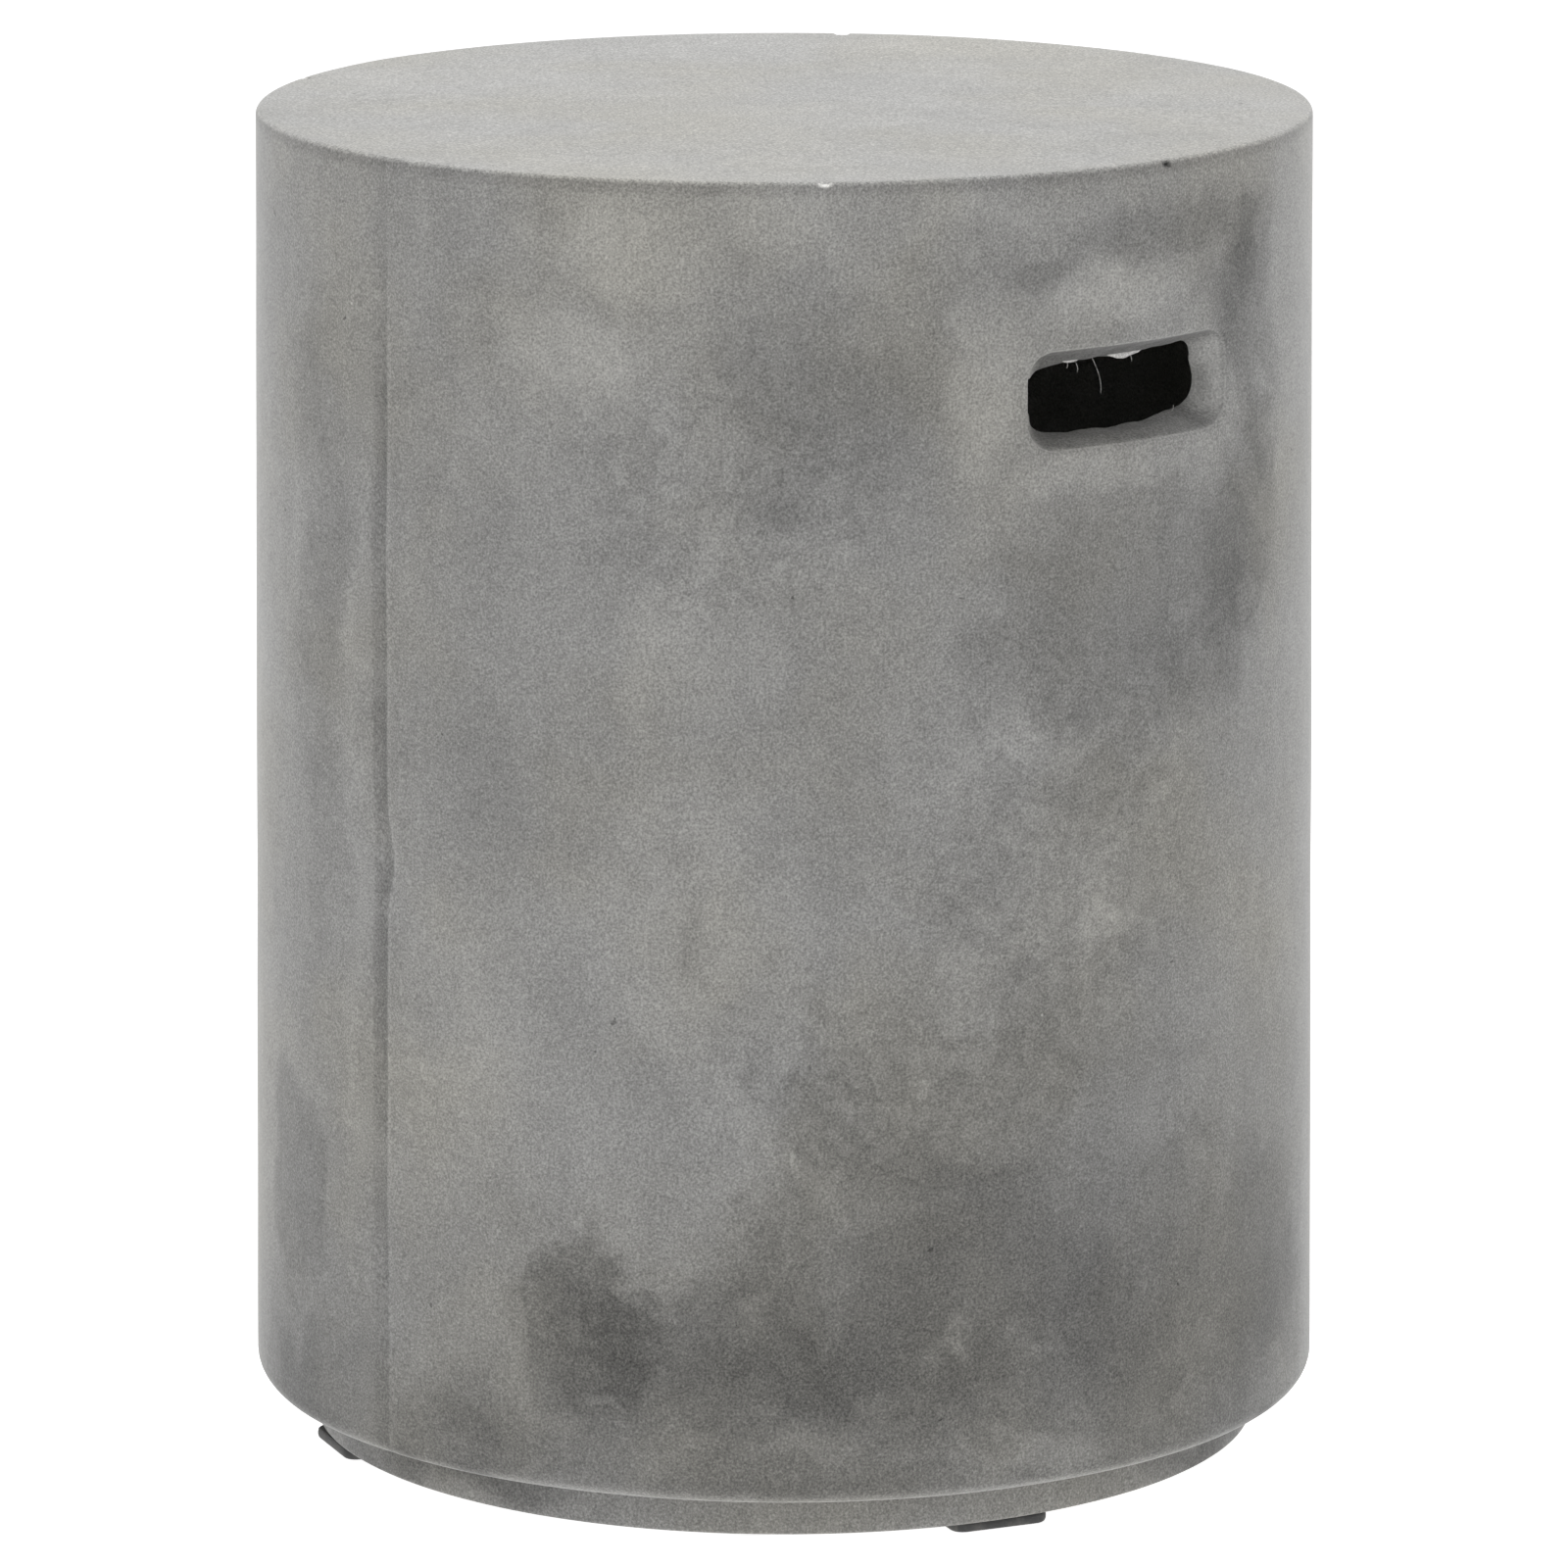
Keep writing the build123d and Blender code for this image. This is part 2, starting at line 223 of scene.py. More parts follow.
def drum_section(wall_heights, inner_heights):
    """The drum's half section, from the middle of the top round to the middle of the ceiling.

    Each row is a point and its normal, (r, z, normal r, normal z, 1 on the inside or 0).
    """
    foot_r = wall_radius(FOOT_Z + FOOT_ROUND) - FOOT_ROUND
    arris_r, arris_z = REGISTER_RADIUS + INNER_ARRIS, FOOT_Z + INNER_ARRIS
    register_top = FOOT_Z + REGISTER_HEIGHT
    corner_z = CEILING_Z - CEILING_ROUND
    corner_r = inner_radius(corner_z) - CEILING_ROUND

    outside = [(r * MM, TOP_Z, 0, 1) for r in (18, 42, 68, 94, 120, 144, 164, 180, 190)]
    outside += arc(TOP_RADIUS - RIM_ROUND, TOP_Z - RIM_ROUND, RIM_ROUND, 90, 0, 6)
    outside += [(wall_radius(z), z, 1, 0) for z in wall_heights]
    outside += arc(foot_r, FOOT_Z + FOOT_ROUND, FOOT_ROUND, 0, -90, 9)[1:]
    inside = [(REGISTER_RADIUS + 3.5 * MM, FOOT_Z, 0, -1)]
    inside += [(r, z, -nr, -nz) for r, z, nr, nz in arc(arris_r, arris_z, -INNER_ARRIS, 90, 0, 3)]
    inside += [(REGISTER_RADIUS, z, -1, 0) for z in (32 * MM, 46 * MM)]
    inside += [(inner_radius(z), z, -1, 0) for z in (register_top, *inner_heights)]
    inside += [(r, z, -nr, -nz) for r, z, nr, nz in arc(corner_r, corner_z, CEILING_ROUND, 0, 90, 6)]
    inside += [(r * MM, CEILING_Z, 0, -1) for r in (150, 125, 98, 70, 42, 18)]
    return [(*row, 0.0) for row in outside] + [(*row, 1.0) for row in inside]


def rounded_outline(size, cells):
    """A rounded rectangle's outline, anticlockwise from the middle of its lower left corner.

    Each side, from corner middle to corner middle, has the cells' count of points across or up.
    """
    width, height, corner = size
    sides = (
        (width, cells[0], 0, (-width / 2, -height / 2)),
        (height, cells[1], 90, (width / 2, -height / 2)),
        (width, cells[0], 180, (width / 2, height / 2)),
        (height, cells[1], 270, (-width / 2, height / 2)),
    )
    points = []
    for length, count, heading, start in sides:
        straight = length - 2 * corner
        eighth = corner * pi / 4
        along = np.array((cos(radians(heading)), sin(radians(heading))))
        inwards = np.array((-along[1], along[0]))
        for s in np.arange(count) / count * (straight + 2 * eighth):
            if s < eighth:
                turn = pi / 4 - s / corner
                offset = (corner - corner * sin(turn), corner - corner * cos(turn))
            elif s < eighth + straight:
                offset = (corner + s - eighth, 0)
            else:
                turn = (s - eighth - straight) / corner
                offset = (corner + straight + corner * sin(turn), corner - corner * cos(turn))
            points.append(np.array(start) + along * offset[0] + inwards * offset[1])
    return np.array(points)


def outline_normals(outline):
    """Unit vectors that point away from the opening at each point of an outline."""
    along = np.roll(outline, -1, axis=0) - np.roll(outline, 1, axis=0)
    normals = np.stack([along[:, 1], -along[:, 0]], axis=1)
    return normals / np.linalg.norm(normals, axis=1)[:, None]


# How the broken inner edge of each slot leaves its true outline, in mm: across and up from the slot's middle,
# reach, and how far outwards
RAGGED_PLACES = {
    0: (
        (-40, 10, 7, -5.2),
        (-28, 12, 9, -1.7),
        (-14, 12, 7, -0.9),
        (1, 12, 9, -1.4),
        (14, 12, 4, -0.8),
        (26, 12, 9, -0.7),
        (41.5, 4.5, 2.4, -0.7),
        (41, -3, 6, 1.9),
        (39, -11, 5, -1.5),
        (12, -12, 10, 1.9),
        (-4, -12, 9, 2.0),
        (-22, -12, 10, 2.2),
        (-35, -12, 5, 0.6),
        (-41, -9, 6, -5.4),
    ),
    180: (
        (-38, 11, 6, -2.6),
        (-22, 12, 10, -1.2),
        (-5, 12, 7, 0.8),
        (9, 12, 6, -1.5),
        (28, 12, 9, -0.7),
        (42, 5, 4, 1.2),
        (38, -11, 6, -2.2),
        (18, -12, 10, 1.1),
        (-12, -12, 8, -0.9),
        (-30, -12, 7, 1.6),
        (-42, -2, 5, 0.8),
    ),
}


def ragged_offset(outline, azimuth):
    """How far the broken inner edge of a slot stands outside the throat's true outline."""
    level = (1 + azimuth) * MM  # takes each slot to a place of its own in the noise
    flat = np.column_stack([outline[:, 0], outline[:, 1], np.full(len(outline), level)])
    offset = 0.4 * MM * wavy_noise(flat, RAGGED_WAVES)
    for across, up, reach, amount in RAGGED_PLACES[azimuth]:
        away = np.hypot(outline[:, 0] - across * MM, outline[:, 1] - up * MM)
        offset = offset + amount * MM * np.exp(-((away / (reach * MM)) ** 2))
    return offset


def slot_place(across, z, depth, azimuth):
    """World points in the wall at a slot: across and z in its own view, depth in from the outer face."""
    radius = wall_radius(z) - depth
    return spun(np.column_stack([np.sqrt(radius**2 - across**2), across, z]), azimuth)


def slot_rings(azimuth, outer_edge, inner_edge):
    """The rings of points that line one hand slot, from outside to inside.

    Each comes with its inside, reveal and shade shares. The shade share paints shade along the slot's upper and
    lower sides, most under the upper lip, and where it falls below 0 at the slot's ends it paints light.
    outer_edge and inner_edge are the (across, z) loops of the patches that the slot is cut in.
    """
    middle = np.array((0, SLOT_Z))
    mouth = rounded_outline(SLOT_MOUTH, SLOT_CELLS) + middle
    throat = rounded_outline(SLOT_THROAT, SLOT_CELLS) + middle
    away = outline_normals(mouth)
    ragged = ragged_offset(throat - middle, azimuth)

    def reveal(share):
        """The slot's lining at a share of the wall's thickness."""
        outline = mouth * (1 - share) + throat * share
        broken = smooth_step(0.45, 1, share) * ragged
        return outline + away * broken[:, None]

    rings = []
    lip_start = mouth + away * SLOT_LIP
    for share in np.linspace(0, 1, 9)[1:]:
        eased = 1 - (1 - share) ** 1.25
        rings.append((outer_edge * (1 - eased) + lip_start * eased, 0.0, 0.0))
    lip_end = SLOT_LIP / WALL
    for share in np.linspace(0, 1, 6)[1:]:
        start, corner, end = (1 - share) ** 2, 2 * share * (1 - share), share**2
        points = lip_start * start + mouth * corner + reveal(lip_end) * end
        rings.append((points, end * SLOT_LIP, 0.0))
    for share in np.linspace(lip_end, 0.97, 10)[1:]:
        rings.append((reveal(share), share * WALL, 0.0))
    inner_lip = reveal(1.0) + away * 0.8 * MM
    rings.append((reveal(1.0) + away * 0.15 * MM, WALL * 0.99, 0.5))
    for share in np.linspace(0, 1, 6)[:-1]:
        rings.append((inner_lip * (1 - share) + inner_edge * share, WALL, 1.0))

    level = abs(away[:, 1])  # 1 along the slot's upper and lower sides, 0 at its ends
    # Painted shade: darker along the slot's upper and lower sides, most under the upper lip; painted light
    # where the value falls below 0 at the ends
    lining_shade = 1.35 * level**3 - 0.35 + 0.45 * np.maximum(away[:, 1], 0) ** 3
    placed = []
    for loop, depth, inside in rings:
        points = slot_place(loop[:, 0], loop[:, 1], depth, azimuth)
        outwards = outwards_at(points)
        if depth == 0:
            degrees = np.degrees(np.arctan2(points[:, 1], points[:, 0]))
            points = points + outwards * outer_offset(degrees, points[:, 2], points)[:, None]
        elif inside < 1:
            fade = min(1, depth / (4 * MM))
            points = points + outwards * WALL_WANDER * (wavy_noise(points, WALL_WAVES) * (1 - fade))[:, None]
            points[:, 2] += wavy_noise(points, ROUGH_WAVES) * SLOT_ROUGHNESS * fade
        lining = smooth_step(0.3 * MM, 3 * MM, depth) * (1 - inside)
        placed.append((points, inside, lining, lining_shade))
    return placed


def grid_loop(row_of, column_of):
    """The (row, column) pairs round a slot's patch, anticlockwise from its lower left corner."""
    across, up = SLOT_CELLS
    steps = [(c, 0) for c in range(across)] + [(across, k) for k in range(up)]
    steps += [(c, up) for c in range(across, 0, -1)] + [(0, k) for k in range(up, 0, -1)]
    return [(row_of(k), column_of(c)) for c, k in steps]


def drum_columns():
    """Azimuths of the drum's columns of points, and the number of the first column of each slot's patch.

    The columns start at the right slot's patch, so that each patch is a whole run of columns. They stand closer
    at the slots, the seams and the chips.
    """
    half = SLOT_PATCH_AZIMUTH
    fine = [(azimuth, half, 2 * half / SLOT_CELLS[0]) for azimuth in SLOT_AZIMUTHS]
    fine += [(azimuth, 2.2, 0.2) for azimuth in SEAM_AZIMUTHS]
    fine += [(chip[0], 0.8, 0.24) for chip in CHIPS if abs(chip[0]) > half]

    def azimuth_spacing(azimuth):
        gaps = [step + 0.16 * max(0, abs(turned(azimuth - at)) - reach) for at, reach, step in fine]
        return min(1.25, *gaps)

    free = [spread((start + half, start + 180 - half), azimuth_spacing) for start in SLOT_AZIMUTHS]
    patches = [np.linspace(at - half, at + half, SLOT_CELLS[0] + 1) for at in SLOT_AZIMUTHS]
    columns = np.concatenate([patches[0][:-1], free[0][:-1], patches[1][:-1], free[1][:-1]])
    return columns, (0, SLOT_CELLS[0] + len(free[0]) - 1)


def drum_rows():
    """The drum's half section, with the numbers of the first outer and inner rows of the slots' patches."""
    patch_low, patch_high = SLOT_Z - SLOT_PATCH_HEIGHT, SLOT_Z + SLOT_PATCH_HEIGHT
    up = np.linspace(patch_low, patch_high, SLOT_CELLS[1] + 1)
    wall_top = spread((TOP_Z - RIM_ROUND - 1 * MM, patch_high), lambda z: 2.6 * MM)
    wall_low = spread((patch_low, FOOT_Z + FOOT_ROUND), lambda z: 5.5 * MM)
    wall_heights = np.concatenate([wall_top[:-1], up[::-1], wall_low[1:]])
    inner_low = spread((80 * MM, patch_low), lambda z: 28 * MM)
    inner_heights = np.concatenate([inner_low[:-1], up, [464 * MM]])
    section = drum_section(wall_heights, inner_heights)

    def first_row(height, inside):
        return next(n for n, row in enumerate(section) if abs(row[1] - height) < 1e-9 and row[4] == inside)

    return section, first_row(patch_high, 0), first_row(patch_low, 1)


def section_ring(row, columns):
    """One row of the half section turned round the axis, with its waves, seams and chips: points and shares."""
    r, z, nr, nz, inside = row
    ring = circle(r, z, np.radians(columns))
    chip_depth, chip_tone = chip_shares(columns, z)
    if inside:
        offset = INSIDE_WANDER * wavy_noise(ring, WALL_WAVES) + INSIDE_ROUGHNESS * wavy_noise(ring, ROUGH_WAVES)
    elif nr == 0 and nz > 0:
        offset = TOP_WANDER * (wavy_noise(ring, WALL_WAVES) - 1) * min(1, (TOP_RADIUS - r) / (40 * MM))
    else:
        offset = outer_offset(columns, z, ring) - chip_depth
    normal = circle(nr, nz, np.radians(columns))
    shares = {
        "inside": inside,
        "seam": seam_share(columns, z) * (1 - inside) * (nr > 0.5),
        "top": smooth_step(0.25, 0.9, nz) * (1 - inside),
        "chip": chip_tone * (1 - inside) * (nr > 0.2),
    }
    return ring + normal * np.reshape(offset, (-1, 1)), shares


class Shell:
    """The points of the shell, the shares of each point, and the faces."""

    def __init__(self):
        self.points = np.empty((0, 3))
        self.shares = {key: np.empty(0) for key in ("inside", "seam", "top", "reveal", "lining_shade", "chip")}
        self.faces = []

    def add(self, points, shares):
        """Adds points and returns their numbers. A share that isn't given is 0."""
        first = len(self.points)
        self.points = np.concatenate([self.points, points])
        for key, values in self.shares.items():
            added = np.broadcast_to(shares.get(key, 0.0), len(points))
            self.shares[key] = np.concatenate([values, added])
        return list(range(first, len(self.points)))


def patch_loop(azimuth, grid, section, columns, radius_at):
    """The (across, z) loop of a slot's patch, in the slot's own view, from its (row, column) pairs."""
    z = np.array([section[row][1] for row, _ in grid])
    turn = np.radians(columns[[column for _, column in grid]] - azimuth)
    return np.column_stack([radius_at(z) * np.sin(turn), z])


def make_drum():
    """Points, faces and shares of the whole shell: a revolved grid with two lined slots let into it."""
    columns, patch_starts = drum_columns()
    section, first_outer, first_inner = drum_rows()
    count = len(columns)
    shell = Shell()
    for row in section:
        shell.add(*section_ring(row, columns))

    holes = set()
    for start in patch_starts:
        for k in range(SLOT_CELLS[1]):
            for c in range(SLOT_CELLS[0]):
                holes.add((first_outer + k, start + c))
                holes.add((first_inner + k, start + c))
    for i in range(len(section) - 1):
        for j in range(count):
            if (i, j) not in holes:
                k = (j + 1) % count
                shell.faces.append((i * count + j, (i + 1) * count + j, (i + 1) * count + k, i * count + k))

    [middle_top] = shell.add([(0, 0, TOP_Z - TOP_WANDER)], {"top": 1.0})
    [middle_ceiling] = shell.add([(0, 0, CEILING_Z)], {"inside": 1.0})
    last = (len(section) - 1) * count
    for j in range(count):
        k = (j + 1) % count
        shell.faces.append((middle_top, j, k))
        shell.faces.append((middle_ceiling, last + k, last + j))

    for azimuth, start in zip(SLOT_AZIMUTHS, patch_starts):
        top_row = first_outer + SLOT_CELLS[1]
        outer = grid_loop(lambda k: top_row - k, lambda c: start + c)
        inner = grid_loop(lambda k: first_inner + k, lambda c: start + c)
        outer_edge = patch_loop(azimuth, outer, section, columns, wall_radius)
        inner_edge = patch_loop(azimuth, inner, section, columns, inner_radius)
        rings = [[row * count + column for row, column in outer]]
        for ring, inside, reveal, lining_shade in slot_rings(azimuth, outer_edge, inner_edge):
            rings.append(shell.add(ring, {"inside": inside, "reveal": reveal, "lining_shade": lining_shade}))
        rings.append([row * count + column for row, column in inner])
        for one, two in zip(rings, rings[1:]):
            for a in range(len(one)):
                b = (a + 1) % len(one)
                shell.faces.append((one[a], one[b], two[b], two[a]))
    return shell.points, shell.faces, shell.shares


# ---------------------------------------------------------------- objects


def bare_object(name, points, faces):
    mesh = bpy.data.meshes.new(name)
    mesh.from_pydata([tuple(p) for p in points], [], faces)
    obj = bpy.data.objects.new(name, mesh)
    bpy.context.scene.collection.objects.link(obj)
    return obj


def rework(mesh, change):
    """Runs a bmesh change on a mesh."""
    work = bmesh.new()
    work.from_mesh(mesh)
    change(work)
    work.to_mesh(mesh)
    work.free()
    mesh.update()


def drop_loose_points(work):
    bmesh.ops.delete(work, geom=[v for v in work.verts if not v.link_faces], context="VERTS")


def new_object(name, points, faces, material, slot, attributes=None):
    """A smooth-shaded mesh object that rides on the root body. Points in no face are left out."""
    obj = bare_object(name, points, faces)
    mesh = obj.data
    for key, values in (attributes or {}).items():
        layer = mesh.attributes.new(key, "FLOAT", "POINT")
        layer.data.foreach_set("value", np.asarray(values, np.float32))
    rework(mesh, drop_loose_points)
    mesh.shade_smooth()
    mesh.materials.append(material)
    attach(obj, "root")
    return obj


# ---------------------------------------------------------------- ways to shape the smaller pieces


def revolved(section, columns, offset):
    """Points and faces of a closed section, (r, z) in order, turned right round the Z axis and then offset."""
    count = len(columns)
    points = np.concatenate([circle(r, z, np.radians(columns)) for r, z in section])
    points = points + offset(points)
    faces = []
    for i in range(len(section)):
        n = (i + 1) % len(section)
        for j in range(count):
            k = (j + 1) % count
            faces.append((i * count + j, i * count + k, n * count + k, n * count + j))
    return points, faces


def softened(corners, radius, steps, gap):
    """A closed (r, z) polygon with rounded corners, and with points about a gap apart along its long sides."""
    corners = [np.array(c, float) for c in corners]
    out = []
    for k, corner in enumerate(corners):
        before, after = corners[k - 1], corners[(k + 1) % len(corners)]
        back = (before - corner) / np.linalg.norm(before - corner)
        on = (after - corner) / np.linalg.norm(after - corner)
        start, end = corner + back * radius, corner + on * radius
        if out:
            run = start - out[-1]
            count = int(np.linalg.norm(run) / gap)
            out += [out[-1] + run * (n / count) for n in range(1, count)]
        for s in np.linspace(0, 1, steps + 1):
            out.append(start * (1 - s) ** 2 + corner * 2 * s * (1 - s) + end * s**2)
    return [tuple(point) for point in out]


def cut(target, cutters):
    """Takes the cutters out of the target's mesh and removes them. Edges over 40 degrees become sharp."""
    for cutter in cutters:
        modifier = target.modifiers.new("cut", "BOOLEAN")
        modifier.operation = "DIFFERENCE"
        modifier.solver = "EXACT"
        modifier.object = cutter
    bpy.context.view_layer.update()
    shaped = bpy.data.meshes.new_from_object(target.evaluated_get(bpy.context.evaluated_depsgraph_get()))
    target.modifiers.clear()
    old = target.data
    target.data = shaped
    bpy.data.meshes.remove(old)
    for cutter in cutters:
        bpy.data.objects.remove(cutter)
    shaped.set_sharp_from_angle(angle=radians(40))


def stacked(rings):
    """Points and faces of a closed body from rings of points, bottom to top, each anticlockwise from above."""
    count = len(rings[0])
    faces = [tuple(reversed(range(count))), tuple((len(rings) - 1) * count + k for k in range(count))]
    for i in range(len(rings) - 1):
        for j in range(count):
            k = (j + 1) % count
            faces.append((i * count + j, i * count + k, (i + 1) * count + k, (i + 1) * count + j))
    return np.concatenate(rings), faces


def round_cutter(x, y, section, sides):
    """A turned cutter at x, y, closed at both ends: its section is (radius, z) in mm, from bottom to top."""
    angles = np.linspace(0, 2 * pi, sides, endpoint=False)
    rings = [circle(r * MM, z * MM, angles) + (x, y, 0) for r, z in section]
    return bare_object("cutter", *stacked(rings))


def strand_mesh(path, width, thickness, sides):
    """A flattened fibre strand along a path of points, tapering to its frayed end."""
    path = np.array(path, float)
    rings = []
    for n, middle in enumerate(path):
        along = path[min(n + 1, len(path) - 1)] - path[max(n - 1, 0)]
        along /= np.linalg.norm(along)
        side = np.cross(along, (cos(1.1), sin(1.1), 0.2))
        side /= np.linalg.norm(side)
        up = np.cross(side, along)
        share = n / (len(path) - 1)
        size = 1 - 0.55 * share**2 if n < len(path) - 1 else 0.12
        ring = []
        for turn in np.linspace(0, 2 * pi, sides, endpoint=False):
            ripple = 1 + 0.12 * sin(3 * turn + 9 * share)
            spoke = side * cos(turn) * width / 2 + up * sin(turn) * thickness / 2
            ring.append(middle + size * ripple * spoke)
        rings.append(ring)
    return stacked(rings)


# ---------------------------------------------------------------- materials


SCREEN_GAMMA = 2.2


class Graph:
    """Short ways to add and link the nodes of one material."""

    def __init__(self, name):
        self.material = bpy.data.materials.new(name)
        self.material.use_nodes = True
        self.nodes = self.material.node_tree.nodes
        self.links = self.material.node_tree.links
        self.shader = self.nodes["Principled BSDF"]
        self.place = self.add("TexCoord").outputs["Object"]

    def add(self, kind, inputs=None, **settings):
        node = self.nodes.new(f"ShaderNode{kind}")
        for key, value in settings.items():
            setattr(node, key, value)
        for key, value in (inputs or {}).items():
            self.put(value, node.inputs[key])
        return node

    def put(self, value, socket):
        if isinstance(value, bpy.types.NodeSocket):
            self.links.new(value, socket)
        else:
            socket.default_value = value

    def math(self, operation, one, two=0.0, three=0.0, clamp=False):
        return self.add("Math", {0: one, 1: two, 2: three}, operation=operation, use_clamp=clamp).outputs[0]

    def vector(self, operation, one, two=(0, 0, 0)):
        return self.add("VectorMath", {0: one, 1: two}, operation=operation).outputs[0]

    def scaled(self, vector, factor):
        return self.add("VectorMath", {0: vector, "Scale": factor}, operation="SCALE").outputs[0]

    def noise(self, place, size, detail=2.0, roughness=0.5, distortion=0.0, output=0):
        """Noise between 0 and 1 whose largest features are about a size in metres."""
        inputs = {"Vector": place, "Scale": 1 / size, "Detail": detail, "Roughness": roughness}
        return self.add("TexNoise", {**inputs, "Distortion": distortion}).outputs[output]

    def cells(self, place, size):
        """The distance from the nearest of scattered points, about a size in metres apart."""
        inputs = {"Vector": place, "Scale": 1 / size, "Randomness": 1.0}
        return self.add("TexVoronoi", inputs).outputs["Distance"]

    def centred(self, value, amount, total):
        """The total, plus a noise value's distance from its middle times twice an amount."""
        shift = self.math("MULTIPLY_ADD", value, 2 * amount, -amount)
        return self.math("ADD", shift, total)

    def ramp(self, value, low, high, start=0.0, end=1.0):
        """A smooth step from start to end as the value goes from low to high."""
        inputs = {"Value": value, "From Min": low, "From Max": high, "To Min": start, "To Max": end}
        return self.add("MapRange", inputs, interpolation_type="SMOOTHSTEP").outputs[0]

    def mix(self, share, one, two):
        """One colour where the share is 0, the other where it is 1."""
        node = self.add("Mix", data_type="RGBA")
        self.put(share, node.inputs["Factor"])
        self.put(one, node.inputs["A"])
        self.put(two, node.inputs["B"])
        return node.outputs["Result"]

    def blend(self, share, one, two):
        """One plain value where the share is 0, the other where it is 1."""
        return self.add("Mix", {"Factor": share, "A": one, "B": two}, data_type="FLOAT").outputs[0]

    def warped(self, place, size, reach):
        """The place, pushed about at random by up to a reach."""
        colour = self.noise(place, size, 2.0, output=1)
        push = self.vector("SUBTRACT", colour, (0.5, 0.5, 0.5))
        return self.vector("ADD", place, self.scaled(push, 2 * reach))

    def stretched(self, place, factors):
        return self.vector("MULTIPLY", place, factors)

    def attribute(self, name):
        return self.add("Attribute", attribute_name=name).outputs["Fac"]

    def bump(self, layers):
        """Feeds the shader's normal from layers of (height value, depth in metres)."""
        normal = None
        for height, depth in layers:
            node = self.add("Bump", {"Height": height, "Distance": depth})
            if normal:
                self.put(normal, node.inputs["Normal"])
            normal = node.outputs[0]
        self.put(normal, self.shader.inputs["Normal"])


def grey(level, warmth=0.0):
    """A linear colour from a grey level of 0 to 255 as it looks on screen, warmed by a share."""
    value = (level / 255) ** SCREEN_GAMMA
    return value * (1 + warmth), value, value * (1 - 2 * warmth), 1


# Cloudy places on the wall and the plinth, some of the darker ones near the ground being painted shade: azimuth
# from the seen side's middle, height in mm, half width in degrees, half height in mm, how much lighter in grey
# levels, and the share of the half size it fades in over
CLOUDS_AND_SHADE = (
    (-16, 484, 12, 26, 15, 0.8),
    (-21, 436, 11, 30, 14, 0.8),
    (0, 494, 10, 15, 12, 0.8),
    (20, 493, 16, 15, 10, 0.8),
    (-20, 450, 18, 34, 6, 0.9),
    (-32, 412, 14, 36, 6, 0.9),
    (22, 432, 6, 40, 14, 0.7),
    (36, 458, 14, 16, 16, 0.8),
    (36, 394, 14, 9, 8, 0.7),
    (-10, 335, 12, 36, 9, 0.9),
    (-11, 240, 18, 66, 13, 0.9),
    (-36, 190, 13, 70, 8, 0.8),
    (58, 232, 13, 50, 5, 0.8),
    (35, 230, 6, 10, 9, 0.7),
    (24, 303, 5, 8, 8, 0.7),
    (14, 290, 8, 40, 7, 0.8),
    (-52, 250, 2.4, 250, 6, 0.8),
    (29, 36, 9, 8, 16, 0.6),
    (2, 150, 1.2, 9, 14, 0.8),
    (15, 181, 1.8, 7, 14, 0.8),
    (-19, 62, 3.2, 3, 16, 0.8),
    (-42, 60, 8, 34, 3, 0.8),
    (5, 425, 18, 54, -14, 0.7),
    (2, 388, 9, 20, -8, 0.8),
    (-14, 372, 9, 16, -7, 0.8),
    (46, 482, 24, 15, -14, 0.7),
    (26, 470, 7, 9, -14, 0.8),
    (60, 430, 9, 74, -22, 0.6),
    (58, 366, 10, 56, -16, 0.6),
    (36, 284, 12, 20, -8, 0.8),
    (41, 345, 26, 54, -13, 0.4),
    (50, 328, 11, 32, -12, 0.6),
    (23, 332, 6, 24, -8, 0.8),
    (57, 478, 10, 24, -12, 0.8),
    (33, 210, 15, 32, -8, 0.8),
    (38, 84, 50, 76, -16, 0.4),
    (12, 96, 24, 80, -12, 0.5),
    (-2, 120, 9, 30, -15, 0.7),
    (24, 70, 22, 34, -5, 0.7),
    (47, 46, 13, 20, -6, 0.7),
    (38, 84, 17, 38, -10, 0.7),
    (18, 168, 24, 40, -12, 0.5),
    (40, 168, 14, 36, -7, 0.8),
    (-21, 86, 10, 36, -17, 0.4),
    (-12, 84, 10, 32, -7, 0.6),
    (-6, 70, 8, 36, -6, 0.8),
    (-10, 78, 20, 44, -17, 0.45),
    (-25, 42, 14, 18, -10, 0.8),
    # Painted shade on the plinth's left end, where the left lamp lights it
    (-44, 12, 22, 15, -24, 0.7),
    # Painted shade on the plinth's right end, where the floor's glow lights it
    (64, 10, 18, 15, -34, 0.7),
    (55, 454, 8, 32, -16, 0.7),
    (-38, 36, 12, 26, -9, 0.8),
    (12, 22, 9, 11, -12, 0.8),
    (10, 484, 18, 26, 4, 0.9),
    (0, 30, 17, 15, -15, 0.7),
    (-62, 42, 28, 38, -8, 0.8),
    (-67, 36, 16, 60, -10, 0.8),
    (-33, 48, 12, 30, -5, 0.8),
    (-65, 112, 8, 50, -16, 0.3),
    (-59, 330, 8, 170, -15, 0.9),
    (-33, 285, 10, 50, -3, 0.9),
    (68, 60, 14, 50, -8, 0.8),
)
# Mottled places on the wall, where the colour is broken up more finely: azimuth from the seen side's middle,
# height in mm, half width in degrees, half height in mm
MOTTLED = (
    (30, 262, 24, 100),
    (8, 178, 26, 48),
    (-20, 96, 16, 36),
    (-6, 392, 22, 60),
    (-150, 330, 40, 120),
    (150, 160, 40, 110),
)
SEEN_MIDDLE = -40.3  # azimuth of the middle of the seen side
CLOUD_REACH_INWARDS = 0.09
HIDDEN_CLOUDS = 26  # at random places on the far side

